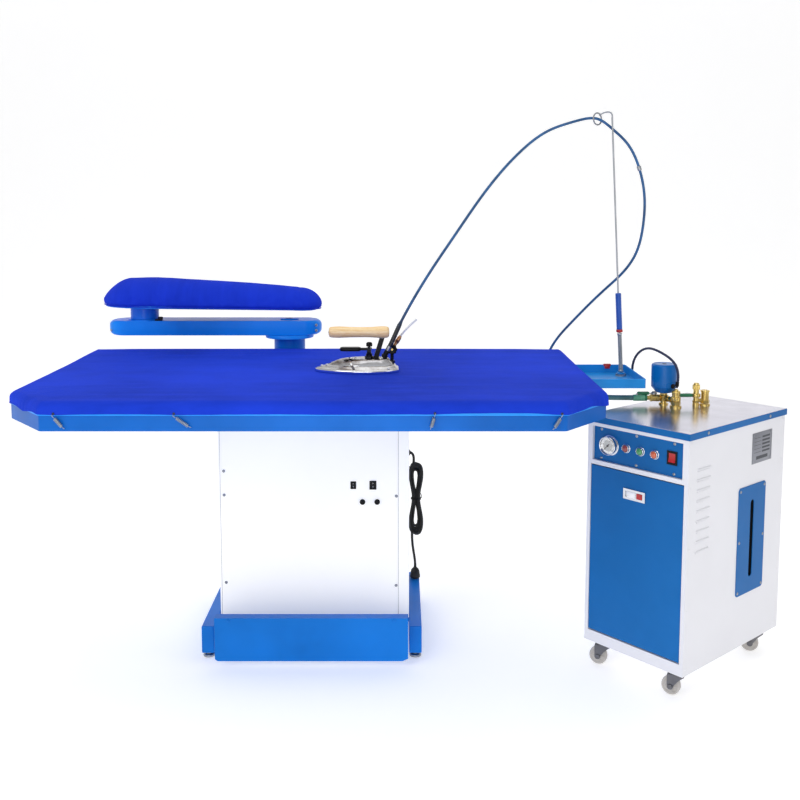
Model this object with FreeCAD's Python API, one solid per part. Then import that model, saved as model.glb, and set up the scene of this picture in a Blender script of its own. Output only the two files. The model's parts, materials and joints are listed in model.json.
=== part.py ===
import FreeCAD, Part
import math
import os
from FreeCAD import Vector

# Steam ironing station: a vacuum ironing table with a swing arm sleeve board,
# a steam iron fed through a pole-hung hose, and a wheeled steam generator.
# Millimetres, +Z up, front of the table towards -Y, floor at z = 0.
# The parts are drawn with x = y = 0 at the middle of the table top, and moved
# by SHIFT on export so that the origin is the bottom centre of the station.

SHIFT = Vector(-283.249, -84.451, 0)
X, Y, Z = Vector(1, 0, 0), Vector(0, 1, 0), Vector(0, 0, 1)
TO_FRONT = Vector(0, -1, 0)
GAP = 0.05                 # radial gap round a turning pin
SHEET = 2                  # cabinet sheet thickness

PARTS = {}


def part(make):
    """Build a piece and keep it under the name of its function."""
    PARTS[make.__name__] = make()
    return make


# ------------------------------------------------------------------- helpers
def box(x0, x1, y0, y1, z0, z1):
    return Part.makeBox(x1 - x0, y1 - y0, z1 - z0, Vector(x0, y0, z0))


def hollow_box(x0, x1, y0, y1, z0, z1, wall):
    return cut(box(x0, x1, y0, y1, z0, z1),
               box(x0 + wall, x1 - wall, y0 + wall, y1 - wall, z0 + wall, z1 - wall))


def facing_box(x, z, half_w, half_h, y0, y1):
    """Box centred on (x, z), seen from the front."""
    return box(x - half_w, x + half_w, y0, y1, z - half_h, z + half_h)


def cyl(x, y, z, radius, length, axis=Z):
    return Part.makeCylinder(radius, length, Vector(x, y, z), axis)


def cone(x, y, z, radius0, radius1, height):
    return Part.makeCone(radius0, radius1, height, Vector(x, y, z), Z)


def rod(start, end, radius):
    start, end = Vector(*start), Vector(*end)
    return Part.makeCylinder(radius, (end - start).Length, start, end - start)


def dome(x, y, z, radius, height, axis):
    """Shallow spherical cap standing on a plane, rising along a unit axis."""
    sphere_r = (radius * radius + height * height) / (2 * height)
    base = Vector(x, y, z)
    sphere = Part.makeSphere(sphere_r, base - axis * (sphere_r - height))
    return sphere.common(Part.makeCylinder(radius, height * 1.2, base, axis))


def polygon_face(points):
    return Part.Face(Part.makePolygon(points + [points[0]]))


def prism(points, z0, z1):
    face = polygon_face([Vector(x, y, z0) for x, y in points])
    return face.extrude(Vector(0, 0, z1 - z0))


def prism_xz(points, y0, y1):
    face = polygon_face([Vector(x, y0, z) for x, z in points])
    return face.extrude(Vector(0, y1 - y0, 0))


def stadium(x0, x1, y, radius, z0, z1):
    return fuse(box(x0 + radius, x1 - radius, y - radius, y + radius, z0, z1),
                cyl(x0 + radius, y, z0, radius, z1 - z0),
                cyl(x1 - radius, y, z0, radius, z1 - z0))


def spline(points):
    curve = Part.BSplineCurve()
    curve.interpolate([Vector(*point) for point in points])
    return curve


def pipe(points, radius):
    curve = spline(points)
    tangent = curve.tangent(curve.FirstParameter)[0]
    profile = Part.Wire(Part.Circle(Vector(*points[0]), tangent, radius).toShape())
    return Part.Wire([curve.toShape()]).makePipeShell([profile], True, True)


def fuse(first, *others):
    return first.multiFuse(list(others)).removeSplitter()


def cut(shape, *tools):
    for tool in tools:
        shape = shape.cut(tool)
    return shape


def group(*shapes):
    return Part.makeCompound([solid for shape in shapes for solid in shape.Solids])


def vertical_fillet(shape, radius):
    edges = [e for e in shape.Edges if abs(e.tangentAt(e.FirstParameter).z) > 0.999]
    return shape.makeFillet(radius, edges)


def top_fillet(shape, radius):
    top = shape.BoundBox.ZMax
    return shape.makeFillet(radius, [e for e in shape.Edges
                                     if abs(e.BoundBox.ZMin - top) < 1e-4])


def level_edges(shape):
    return [e for e in shape.Edges if abs(e.BoundBox.ZMin - e.BoundBox.ZMax) < 1e-6]


def turn(shape, point, axis, degrees):
    shape = shape.copy()
    shape.rotate(Vector(*point), axis, degrees)
    return shape


def moved(shape, offset):
    shape = shape.copy()
    shape.translate(offset)
    return shape


def bezel(x, z, half_w, half_h, lip, face_y, flange, depth, wall, floor):
    """Switch housing: a flange on the panel face and a box open to the front."""
    shell = fuse(facing_box(x, z, half_w + lip, half_h + lip, face_y - flange, face_y),
                 facing_box(x, z, half_w, half_h, face_y - 1, face_y + depth))
    return cut(shell, facing_box(x, z, half_w - wall, half_h - wall,
                                 face_y - 5, face_y + depth - floor))


def rocker(x, z, half_w, half_h, pivot_y, reach):
    """Switch rocker: two front flats in a shallow V, tilted on its pin."""
    side = [(6, -0.55 * half_h), (-reach - 1.6, -half_h), (-reach, 0),
            (-reach - 1.6, half_h), (6, 0.55 * half_h)]
    face = polygon_face([Vector(x - half_w, pivot_y + y, z + up) for y, up in side])
    body = fuse(face.extrude(Vector(2 * half_w, 0, 0)),
                cyl(x - half_w - 0.22, pivot_y, z, 1.2, 2 * half_w + 0.44, X))
    return turn(body, (x, pivot_y, z), X, -6)


# ------------------------------------------------------------- table and pad
TABLE_W, TABLE_D = 1500, 850
CORNER_X, CORNER_Y = 125, 150        # front corner cuts, along X and Y
CORNER_R = 14
FRAME_BOTTOM, LIP_BOTTOM, FRAME_TOP = 748, 786, 795
GRID_BOTTOM = FRAME_TOP - 3
PAD_TOP, COVER_TOP = 818, 820
FAN_X, FAN_Y = -17, 220              # suction axis, down into the cabinet

# ends of each hook on the table's front edge: x, z, x, z
HOOKS = ((-585, 782, -565, 759), (-299, 783, -267, 761),
         (310, 784, 302, 758), (608, 783, 592, 757))


def table_outline(grow):
    """Table outline grown by a margin, with the corner cuts kept parallel."""
    half_w, half_d = TABLE_W / 2 + grow, TABLE_D / 2 + grow
    diagonal = math.hypot(CORNER_X, CORNER_Y)
    scale = 1 + grow * (CORNER_X + CORNER_Y - diagonal) / (CORNER_X * CORNER_Y)
    cut_x, cut_y = CORNER_X * scale, CORNER_Y * scale
    return [(half_w, half_d), (-half_w, half_d), (-half_w, -half_d + cut_y),
            (-half_w + cut_x, -half_d), (half_w - cut_x, -half_d),
            (half_w, -half_d + cut_y)]


def table_prism(grow, z0, z1):
    return vertical_fillet(prism(table_outline(grow), z0, z1), max(CORNER_R + grow, 2))


@part
def table_frame():
    frame = fuse(table_prism(-3, FRAME_BOTTOM, LIP_BOTTOM),
                 table_prism(0, LIP_BOTTOM, FRAME_TOP))
    frame = cut(frame, table_prism(-6, FRAME_BOTTOM + 3, FRAME_TOP + 5))
    # ledge under the rim of the deck grid
    ledge = cut(table_prism(-5.9, GRID_BOTTOM - 4, GRID_BOTTOM), table_prism(-22, 780, 800))
    frame = fuse(frame, ledge)
    frame = cut(frame, cyl(FAN_X, FAN_Y, 740, 73, 20))
    # hollow bars under the grid, front to back
    for x in (-500, 400):
        bar = cut(box(x, x + 30, -300, 300, FRAME_BOTTOM + 2.9, GRID_BOTTOM),
                  box(x + 3, x + 27, -301, 301, 750, GRID_BOTTOM - 4))
        frame = fuse(frame, bar)
    return frame


@part
def deck_grid():
    columns, rows, pitch = 14, 7, 100
    slots = []
    for i in range(columns):
        for j in range(rows):
            x = (i - (columns - 1) / 2) * pitch
            y = (j - (rows - 1) / 2) * pitch
            slots.append(box(x - 30, x + 30, y - 4, y + 4, 790, 797))
    return table_prism(-6.6, GRID_BOTTOM, FRAME_TOP).cut(Part.makeCompound(slots))


@part
def ironing_pad():
    return top_fillet(table_prism(-0.6, FRAME_TOP, PAD_TOP), 20)


@part
def table_cover():
    outer = top_fillet(table_prism(2.4, 789, COVER_TOP), 22)
    return cut(outer, top_fillet(table_prism(0.5, 780, PAD_TOP + 0.3), 20.6))


@part
def cover_hooks():
    y = -TABLE_D / 2 - 1.3
    return group(*[rod((x0, y, z0), (x1, y, z1), 3.8) for x0, z0, x1, z1 in HOOKS])


# ------------------------------------------------------------------- cabinet
CAB_X0, CAB_X1 = -289, 255
CAB_Y0, CAB_Y1 = 40, 400
CAB_Z0, CAB_Z1 = 93, FRAME_BOTTOM
CAB_FLOOR = CAB_Z0 + SHEET
PANEL_FRONT = CAB_Y0 - 1.6

# switches on the front panel: x, half width, half height, lip
SUCTION_SWITCH = (96, 6.5, 9.5, 1.6)
HEATER_SWITCH = (152, 8.1, 11.1, 1.8)
SWITCH_Z = 486
FUSE_XS, FUSE_Z, FUSE_R = (122, 164), 437, 6


@part
def cabinet_shell():
    shell = hollow_box(CAB_X0, CAB_X1, CAB_Y0, CAB_Y1, CAB_Z0, CAB_Z1, SHEET)
    return cut(shell, box(-276, 216, CAB_Y0 - 5, CAB_Y0 + 5, 108, 734),  # front opening
               cyl(FAN_X, FAN_Y, CAB_Z1 - 10, 76, 20),                   # fan duct
               box(78, 132, CAB_Y1 - 5, CAB_Y1 + 5, 520, 592))           # fan outlet


@part
def cabinet_front_panel():
    panel = box(-283, 223.4, PANEL_FRONT, CAB_Y0, 101, 741)
    for x, half_w, half_h, lip in (SUCTION_SWITCH, HEATER_SWITCH):
        panel = cut(panel, facing_box(x, SWITCH_Z, half_w + 0.1, half_h + 0.1, 30, 50))
    for x in FUSE_XS:
        panel = cut(panel, cyl(x, 30, FUSE_Z, FUSE_R + 0.1, 30, Y))
    return panel


@part
def switch_housings():
    pieces = []
    for x, half_w, half_h, lip in (SUCTION_SWITCH, HEATER_SWITCH):
        pieces.append(bezel(x, SWITCH_Z, half_w, half_h, lip, PANEL_FRONT,
                            flange=2, depth=16, wall=1.2, floor=1.5))
    for x in FUSE_XS:
        pieces.append(fuse(cyl(x, PANEL_FRONT - 3, FUSE_Z, 8, 3, Y),
                           cyl(x, PANEL_FRONT - 9, FUSE_Z, 5.6, 8, Y),
                           cyl(x, PANEL_FRONT - 1, FUSE_Z, FUSE_R, 26, Y)))
    return group(*pieces)


def panel_rocker(switch):
    x, half_w, half_h, lip = switch
    return rocker(x, SWITCH_Z, half_w - 1.5, half_h - 2.3, PANEL_FRONT + 2, 2.6)


@part
def suction_rocker():
    return panel_rocker(SUCTION_SWITCH)


@part
def heater_rocker():
    return panel_rocker(HEATER_SWITCH)


# ------------------------------------------------- suction fan inside cabinet
MOTOR_BOTTOM = 392
FAN_SHAFT_R = 6
SCROLL_BOTTOM, SCROLL_TOP, SCROLL_R, SCROLL_WALL = 500, 612, 160, 3
OUTLET_X0, OUTLET_X1 = 70, 143
DUCT_INNER_R = 72
ROTOR_R = 118
BLADES = 12


def fan_cyl(z, radius, height):
    return cyl(FAN_X, FAN_Y, z, radius, height)


@part
def fan_housing():
    inner_bottom, inner_top = SCROLL_BOTTOM + SCROLL_WALL, SCROLL_TOP - SCROLL_WALL
    outer = fuse(fan_cyl(SCROLL_BOTTOM, SCROLL_R, SCROLL_TOP - SCROLL_BOTTOM),
                 box(OUTLET_X0, OUTLET_X1, FAN_Y, CAB_Y1 - SHEET, SCROLL_BOTTOM, SCROLL_TOP))
    inner = fuse(fan_cyl(inner_bottom, SCROLL_R - SCROLL_WALL, inner_top - inner_bottom),
                 box(OUTLET_X0 + SCROLL_WALL, OUTLET_X1 - SCROLL_WALL, FAN_Y, CAB_Y1,
                     inner_bottom, inner_top))
    duct = cut(fan_cyl(SCROLL_TOP - 1, DUCT_INNER_R + 3, CAB_Z1 - SCROLL_TOP + 1),
               fan_cyl(600, DUCT_INNER_R, 160))
    scroll = cut(outer, inner, fan_cyl(605, DUCT_INNER_R, 20), fan_cyl(495, 20, 12))
    scroll = fuse(scroll, duct)
    motor = cut(fuse(fan_cyl(MOTOR_BOTTOM, 62, 100), fan_cyl(MOTOR_BOTTOM + 100, 90, 8)),
                fan_cyl(MOTOR_BOTTOM + 10, FAN_SHAFT_R + GAP, 120))
    stand = cut(box(-130, 96, FAN_Y - 30, FAN_Y + 30, CAB_FLOOR, MOTOR_BOTTOM),
                box(-127, 93, FAN_Y - 40, FAN_Y + 40, CAB_FLOOR + 3, MOTOR_BOTTOM - 3))
    return group(scroll, motor, stand)


@part
def fan_impeller():
    pieces = [fan_cyl(404, FAN_SHAFT_R, 186),
              fan_cyl(508, ROTOR_R, 3),                                  # lower disc
              fan_cyl(508, 22, 60),                                      # hub
              cut(fan_cyl(572, ROTOR_R, 3), fan_cyl(570, 78, 8))]        # upper ring
    for i in range(BLADES):
        blade = box(74, 116, -1.2, 1.2, 510, 573)
        blade.rotate(Vector(95, 0, 0), Z, -38)
        blade.rotate(Vector(0, 0, 0), Z, i * 360 / BLADES)
        blade.translate(Vector(FAN_X, FAN_Y, 0))
        pieces.append(blade)
    return fuse(*pieces)


# ---------------------------------------------------------------------- base
BEAM_W = 36
BEAM_L0, BEAM_R0 = -334, 255         # left faces of the left and right beams
BEAM_L1 = BEAM_L0 + BEAM_W
BEAM_Y0, BEAM_Y1 = -22, 402
BEAM_Z0, BEAM_Z1 = 14, CAB_Z0
BEAM_WALL = 3

PEDAL_X0, PEDAL_X1 = -285, 252
PEDAL_Y, PEDAL_Z0, PEDAL_Z1 = -85, 20, 144
PEDAL_PIVOT_Y, PEDAL_PIVOT_Z, PEDAL_SHAFT_R = 200, 44, 6


@part
def base_frame():
    left, right = [hollow_box(x, x + BEAM_W, BEAM_Y0, BEAM_Y1, BEAM_Z0, BEAM_Z1, BEAM_WALL)
                   for x in (BEAM_L0, BEAM_R0)]
    bars = []
    for y in (90, 330):
        bars.append(cut(box(BEAM_L1, BEAM_R0, y, y + 40, 60, BEAM_Z1),
                        box(BEAM_L1 - 1, BEAM_R0 + 1, y + 3, y + 37, 63, BEAM_Z1 - 3)))
    shaft = cyl(BEAM_L1, PEDAL_PIVOT_Y, PEDAL_PIVOT_Z, PEDAL_SHAFT_R, BEAM_R0 - BEAM_L1, X)
    return group(fuse(left, right, *bars), shaft)


@part
def levelling_feet():
    feet = []
    for x in (BEAM_L0 + BEAM_W / 2, BEAM_R0 + BEAM_W / 2):
        for y in (BEAM_Y0 + 18, BEAM_Y1 - 18):
            feet.append(fuse(cyl(x, y, 0, 17, 7), cone(x, y, 7, 17, 12, 2),
                             cyl(x, y, 9, 5, BEAM_Z0 - 9)))
    return group(*feet)


@part
def foot_pedal():
    low_x0, low_x1 = PEDAL_X0 + 7, PEDAL_X1 - 16
    plate = prism_xz([(PEDAL_X0, 26), (low_x0, PEDAL_Z0), (low_x1, PEDAL_Z0),
                      (PEDAL_X1, 27), (PEDAL_X1, PEDAL_Z1), (PEDAL_X0, PEDAL_Z1)],
                     PEDAL_Y, PEDAL_Y + 3)
    pieces = [box(PEDAL_X0, PEDAL_X1, PEDAL_Y, PEDAL_Y + 30, PEDAL_Z1 - 3, PEDAL_Z1),
              box(low_x0, low_x1, PEDAL_Y, PEDAL_Y + 20, PEDAL_Z0, PEDAL_Z0 + 3)]
    # arms back to the shaft
    for x in (PEDAL_X0 + 14, PEDAL_X1 - 20):
        pieces.append(box(x, x + 6, PEDAL_Y + 1, PEDAL_PIVOT_Y,
                          PEDAL_PIVOT_Z - 12, PEDAL_PIVOT_Z + 10))
        pieces.append(cyl(x, PEDAL_PIVOT_Y, PEDAL_PIVOT_Z, 14, 6, X))
    pedal = cut(fuse(plate, *pieces),
                cyl(BEAM_L1, PEDAL_PIVOT_Y, PEDAL_PIVOT_Z, PEDAL_SHAFT_R + GAP, 600, X))
    for x in (-246, 212):
        pedal = fuse(pedal, dome(x, PEDAL_Y, 137.5, 5, 2.5, TO_FRONT))
    return pedal


# -------------------------------------------------------------------- cables
# centre line of the cord below its coiled loops: x, y, z
CORD_TAIL = [(266, 309.5, 330), (267, 311, 250), (272, 322, 190), (277, 338, 150),
             (278, 345.5, 122)]
# centre line of the cable from the cabinet to the generator: x, y, z
CABLE = [(255.9, 300, 740.5), (300, 300, 742), (450, 299, 742.5), (600, 288, 742.5),
         (700, 255, 742.5), (765, 237, 744), (855, 235, 751), (902, 227, 757),
         (920.5, 214, 773), (923, 202, 803), (930, 170, 845), (946, 120, 868),
         (972, 60, 863), (1000, 30, 838), (1011, 29, 800), (1009, 34, 768.2)]


def cord_loop(x, y, z0, z1, bend_r, radius):
    """Upright closed loop of cord; z0 and z1 are its centre line ends."""
    def half_bend(centre_z, clip_z0, clip_z1):
        torus = Part.makeTorus(bend_r, radius, Vector(x, y, centre_z), Y, -180, 180, 360)
        reach = bend_r + radius
        return torus.common(box(x - reach, x + reach, y - radius, y + radius,
                                clip_z0, clip_z1))

    low, high = z0 + bend_r, z1 - bend_r
    return fuse(cyl(x - bend_r, y, low, radius, high - low),
                cyl(x + bend_r, y, low, radius, high - low),
                half_bend(high, high, z1 + radius),
                half_bend(low, z0 - radius, low))


@part
def electric_cables():
    return group(cord_loop(278, 290, 268, 478, 15, 4.2),
                 cord_loop(279, 300, 272, 470, 13, 4.2),
                 pipe(CORD_TAIL, 4),
                 box(264, 290, 328, 364, BEAM_Z1, 121),
                 pipe(CABLE, 3.6))


# ----------------------------------------------------- swing arm and sleeve board
ARM_Y = 490                          # centre line, behind the table
ARM_PIVOT_X, BOARD_PIVOT_X = -131, -602
PIVOT_R = 20
ARM_X0, ARM_X1, ARM_R = -715, -26, 55
ARM_Z0, ARM_Z1, ARM_WALL = 864, 911, 3
BOARD_TILT = 1.3                     # degrees, right end down

# Plan of the sleeve board plate and pad, symmetric about ARM_Y:
# (x, half width) of the straight sides, then (x, radius) of the two end discs
PLATE_PLAN = ([(-640, 95), (-560, 98), (-110, 48)], [(-632, 92), (-95, 52)])
PAD_PLAN = ([(-640, 105), (-560, 109), (-110, 59)], [(-631, 102.5), (-89, 63)])
# side view of the pad: x, z
PAD_SIDE = [(-733, 972), (-731, 990), (-712, 1012), (-676, 1032), (-630, 1041),
            (-560, 1042.5), (-330, 1035), (-110, 1025), (-60, 1016), (-31, 997),
            (-25, 978), (-30, 963.5), (-60, 958), (-690, 958), (-722, 963)]


@part
def arm_bracket():
    x0, x1 = ARM_PIVOT_X - 74, ARM_PIVOT_X + 74
    return fuse(box(x0, x1, 422, 430, 750, 785), box(x0, x1, 422, 548, 750, 758),
                box(x0, x0 + 6, 422, 470, 750, 785), box(x1 - 6, x1, 422, 470, 750, 785),
                cyl(ARM_PIVOT_X, ARM_Y, 757, 50, 96),
                cyl(ARM_PIVOT_X, ARM_Y, 852, PIVOT_R, 48))


@part
def swing_arm():
    arm = cut(stadium(ARM_X0, ARM_X1, ARM_Y, ARM_R, ARM_Z0, ARM_Z1),
              stadium(ARM_X0 + ARM_WALL, ARM_X1 - ARM_WALL, ARM_Y, ARM_R - ARM_WALL,
                      ARM_Z0 + ARM_WALL, ARM_Z1 - ARM_WALL))
    arm = fuse(arm, cyl(ARM_PIVOT_X, ARM_Y, 853, 78, 11.5),
               cyl(ARM_PIVOT_X, ARM_Y, 860, 28, 50),
               cyl(BOARD_PIVOT_X, ARM_Y, 866, 28, 44),
               cyl(BOARD_PIVOT_X, ARM_Y, 910, 52, 4))
    return cut(arm, cyl(ARM_PIVOT_X, ARM_Y, 850, PIVOT_R + GAP, 52),
               cyl(BOARD_PIVOT_X, ARM_Y, 872, PIVOT_R + GAP, 50))


def board_prism(plan, z0, z1, grow=0):
    sides, discs = plan
    front = [(x, ARM_Y - half - grow) for x, half in sides]
    back = [(x, ARM_Y + half + grow) for x, half in reversed(sides)]
    return fuse(prism(front + back, z0, z1),
                *[cyl(x, ARM_Y, z0, radius + grow, z1 - z0) for x, radius in discs])


def tilt_board(shape):
    return turn(shape, (BOARD_PIVOT_X, ARM_Y, 962), Y, BOARD_TILT)


@part
def sleeve_board_base():
    return fuse(tilt_board(board_prism(PLATE_PLAN, 955, 963)),
                cyl(BOARD_PIVOT_X, ARM_Y, 914, 45, 43),
                cyl(BOARD_PIVOT_X, ARM_Y, 874, PIVOT_R, 45))


@part
def sleeve_board_pad():
    pad = prism_xz(PAD_SIDE, 380, 600).common(board_prism(PAD_PLAN, 950, 1050))
    # the pad wraps over the edge of the plate
    return tilt_board(cut(pad, board_prism(PLATE_PLAN, 940, 963.2, grow=0.5)))


# ------------------------------------------------------------- tray and pole
TRAY_X0, TRAY_X1 = 757, 915
TRAY_Y0, TRAY_Y1 = 5, 262
TRAY_Z0, TRAY_Z1 = 772, 797
POLE_X, POLE_Y, POLE_Z = 888, 200, 785        # foot of the pole
POLE_H = 758
POLE_TOP = POLE_Z + POLE_H
POLE_LEAN = math.degrees(math.atan2(43, POLE_H))
POLE_ROD_R, POLE_WIRE_R = 2.5, 2.3
RING_R = 17
RING_CENTRE = Vector(POLE_X - 43, POLE_Y, POLE_TOP - 10)      # before the lean


@part
def iron_tray():
    tray = cut(vertical_fillet(box(TRAY_X0, TRAY_X1, TRAY_Y0, TRAY_Y1, TRAY_Z0, TRAY_Z1), 5),
               vertical_fillet(box(TRAY_X0 + 2, TRAY_X1 - 2, TRAY_Y0 + 2, TRAY_Y1 - 2,
                                   TRAY_Z0 + 2, TRAY_Z1 + 5), 3))
    tray = fuse(tray, cyl(POLE_X, POLE_Y, TRAY_Z0 + 1, 12, POLE_Z - TRAY_Z0 - 1))
    # bent arms from under the table
    for y in (60, 190):
        tray = fuse(tray, box(690, 772, y, y + 26, 742, 748),
                    box(764, 772, y, y + 26, 742, TRAY_Z0 + 1))
    return tray


def pole_cyl(height, radius, length):
    return cyl(POLE_X, POLE_Y, POLE_Z + height, radius, length)


def lean(shape):
    return turn(shape, (POLE_X, POLE_Y, POLE_Z), Y, -POLE_LEAN)


@part
def pole_spring():
    return lean(cut(pole_cyl(1.3, 6.5, 116.4), pole_cyl(-1, 4.6, 125)))


@part
def pole_rod():
    # the wire at the top bends over towards -X and ends in a ring
    bend = [(0, -1), (-4, 5), (-12, 8), (-21, 6.5), (-28.5, 1)]       # x, z from the top
    wire = pipe([(POLE_X + x, POLE_Y, POLE_TOP + z) for x, z in bend], POLE_WIRE_R)
    ring = Part.makeTorus(RING_R, POLE_WIRE_R, RING_CENTRE, Vector(0.86, -0.5, 0))
    return lean(fuse(pole_cyl(118, POLE_ROD_R, POLE_H - 118), wire, ring,
                     pole_cyl(117.8, 6, 2.2)))


@part
def pole_grip():
    bore_r = POLE_ROD_R + GAP
    return lean(group(cut(pole_cyl(129, 8.6, 108), pole_cyl(120, bore_r, 130)),
                      cut(pole_cyl(120.2, 9.6, 8.6), pole_cyl(110, bore_r, 30))))


# ------------------------------------------------------------------ steam iron
# Iron frame: x = y = 0 at the middle of the sole, tip towards -X.
IRON_AT = Vector(109, 11, COVER_TOP)
SOLE_TOP, IRON_COVER_TOP = 20, 37
HANDLE_Z = 109.6
LEVER_X, LEVER_Z, LEVER_PIN_R = 34, 62, 3
KNOB_Y = 20
REAR_X, REAR_Y, REAR_Z = 98, 22, 59           # rear valve and its knob axis
STEM_R = 2.5
HOSE_ROOT = Vector(74, 0, 36)
HOSE_DIR = Vector(39, 0, 76)
HOSE_DIR.normalize()

# one side of the sole, heel to tip: x, half width
SOLE_SIDE = [(117, 24), (98, 42), (50, 60), (-10, 61), (-70, 41)]
SOLE_TIP = -117
# outline of the handle, turned about its own axis: x, radius
HANDLE_PROFILE = [(-77, 11.5), (-74.5, 13.6), (-66, 15.4), (-48, 16), (-20, 14.9),
                  (10, 14.4), (40, 14.8), (62, 16.2), (80, 16.3), (88, 14), (90.5, 9)]


def iron(shape):
    return moved(shape, IRON_AT)


def sole_layer(scale, tip, heel, z, height):
    """Sole-shaped slab; widths are scaled, tip and heel are drawn in."""
    side = [(x - heel if x > 90 else x, width * scale) for x, width in SOLE_SIDE]
    point = [(SOLE_TIP + tip, 0, 0)]
    front = spline([(x, -y, 0) for x, y in side] + point)
    back = spline(point + [(x, y, 0) for x, y in reversed(side)])
    heel_x, heel_y = side[0]
    line = Part.LineSegment(Vector(heel_x, heel_y, 0), Vector(heel_x, -heel_y, 0))
    face = Part.Face(Part.Wire([front.toShape(), back.toShape(), line.toShape()]))
    face.translate(Vector(0, 0, z))
    return face.extrude(Vector(0, 0, height))


@part
def iron_soleplate():
    return iron(fuse(sole_layer(1, 0, 0, 0, 13),
                     sole_layer(0.84, 20, 8, 12.5, SOLE_TOP - 12.5)))


@part
def iron_cover():
    return iron(fuse(sole_layer(0.66, 44, 22, SOLE_TOP, 12),
                     sole_layer(0.58, 52, 28, 31.9, IRON_COVER_TOP - 31.9)))


@part
def iron_handle_bracket():
    post = prism_xz([(46, IRON_COVER_TOP), (60, IRON_COVER_TOP), (77, 92.8), (63, 92.8)],
                    -12, 12)
    return iron(fuse(post, box(44, 62, -16, 16, IRON_COVER_TOP, IRON_COVER_TOP + 3)))


@part
def iron_handle():
    outline = [Vector(x, 0, radius) for x, radius in HANDLE_PROFILE]
    start, end = outline[0], outline[-1]
    axis_start, axis_end = Vector(start.x, 0, 0), Vector(end.x, 0, 0)
    wire = Part.Wire([Part.LineSegment(axis_start, start).toShape(),
                      spline(outline).toShape(),
                      Part.LineSegment(end, axis_end).toShape(),
                      Part.LineSegment(axis_end, axis_start).toShape()])
    handle = Part.Face(wire).revolve(Vector(0, 0, 0), X, 360)
    return iron(moved(handle, Vector(0, 0, HANDLE_Z)))


@part
def iron_fittings():
    x0, x1 = LEVER_X - 6, LEVER_X + 6
    lever_post = fuse(cyl(LEVER_X, 0, IRON_COVER_TOP, 9, 18),
                      box(x0, x1, -9.5, -6, 54, 68), box(x0, x1, 6, 9.5, 54, 68),
                      box(x0, x1, -9.5, 9.5, 50, 55),
                      rod((LEVER_X, -9.5, LEVER_Z), (LEVER_X, 9.5, LEVER_Z), LEVER_PIN_R))
    knob_post = fuse(cyl(LEVER_X, KNOB_Y, IRON_COVER_TOP, 6, 29),
                     cyl(LEVER_X, KNOB_Y, 60, STEM_R, 14))
    inlet = fuse(Part.makeCylinder(6, 26, HOSE_ROOT, HOSE_DIR),
                 Part.makeCylinder(8.5, 11, HOSE_ROOT + HOSE_DIR * 4.0, HOSE_DIR))
    inlet = cut(inlet, box(40, 120, -20, 20, 20, IRON_COVER_TOP))
    rear_valve = fuse(cyl(REAR_X, REAR_Y, SOLE_TOP, 5, 45),
                      rod((REAR_X, REAR_Y, REAR_Z), (REAR_X, 11, REAR_Z), STEM_R),
                      rod((99, REAR_Y, 60), (122, REAR_Y, 96), 4.6),
                      rod((109, REAR_Y, 75.6), (119, REAR_Y, 91.3), 6))
    tube = pipe([(122.3, REAR_Y, 96.5), (134, REAR_Y, 111), (150, REAR_Y, 128),
                 (167, REAR_Y, 143)], 3)
    return iron(group(lever_post, knob_post, inlet, rear_valve, tube))


@part
def iron_paddle():
    paddle = vertical_fillet(box(-47, 12, -13, 13, 56.5, 67.5), 10)
    paddle = paddle.makeFillet(4.5, level_edges(paddle))
    lever = fuse(paddle, box(5, LEVER_X, -3.5, 3.5, 58.5, 65.5),
                 rod((LEVER_X, -5.4, LEVER_Z), (LEVER_X, 5.4, LEVER_Z), 5.6))
    return iron(cut(lever, rod((LEVER_X, -12, LEVER_Z), (LEVER_X, 12, LEVER_Z),
                               LEVER_PIN_R + GAP)))


@part
def iron_valve_knob():
    knob = fuse(cyl(LEVER_X, KNOB_Y, 66.5, 8.5, 9), cone(LEVER_X, KNOB_Y, 75.5, 8.5, 6.5, 3))
    return iron(cut(knob, cyl(LEVER_X, KNOB_Y, 60, STEM_R + GAP, 14.5)))


@part
def iron_rear_knob():
    def disc(y0, y1, radius):
        return rod((REAR_X, y0, REAR_Z), (REAR_X, y1, REAR_Z), radius)

    return iron(cut(fuse(disc(16.4, 10.4, 12), disc(10.4, 9, 10)),
                    disc(20, 10.8, STEM_R + GAP)))


# ---------------------------------------------------------------- steam hose
# Thin hose: up from the iron, through the ring of the pole, down behind the
# table. Thick hose: under the table's right end to the valve on the generator.
# All are centre line points: x, y, z.
HOSE_RISE = [(223, 18, 938), (257, 34, 1002), (313.5, 60, 1093), (384.3, 80, 1196.6),
             (469.9, 105, 1317.3), (571.2, 135, 1430.9), (653.7, 163, 1491.8),
             (734.1, 187, 1521)]
HOSE_FALL = [(848, 213, 1503), (894.2, 217, 1460.6), (932.2, 220, 1388.5),
             (951.4, 228, 1310.1), (954, 244, 1221.6), (938, 268, 1131),
             (900.9, 302, 1066.3), (865.3, 333, 1024), (824.5, 375, 972.6),
             (774.6, 424, 905.7), (736.4, 456, 850.7), (714, 468, 806.2),
             (704, 466, 765), (703, 452, 735), (706, 425, 722.5)]
THICK_HOSE = [(706, 424.6, 722.4), (711, 380, 721), (722, 290, 724), (738, 190, 728),
              (772, 112, 730.5), (830, 84, 731), (880, 80.5, 731), (922.2, 80, 731)]


@part
def steam_hose():
    start = IRON_AT + HOSE_ROOT + HOSE_DIR * 26.8
    foot = Vector(POLE_X, POLE_Y, POLE_Z)
    ring = foot + FreeCAD.Rotation(Y, -POLE_LEAN).multVec(RING_CENTRE - foot)
    line = [tuple(start), tuple(start + HOSE_DIR * 25.0)]
    line += HOSE_RISE + [tuple(ring)] + HOSE_FALL
    return group(pipe(line, 4.7), pipe(THICK_HOSE, 7.5))


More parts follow.
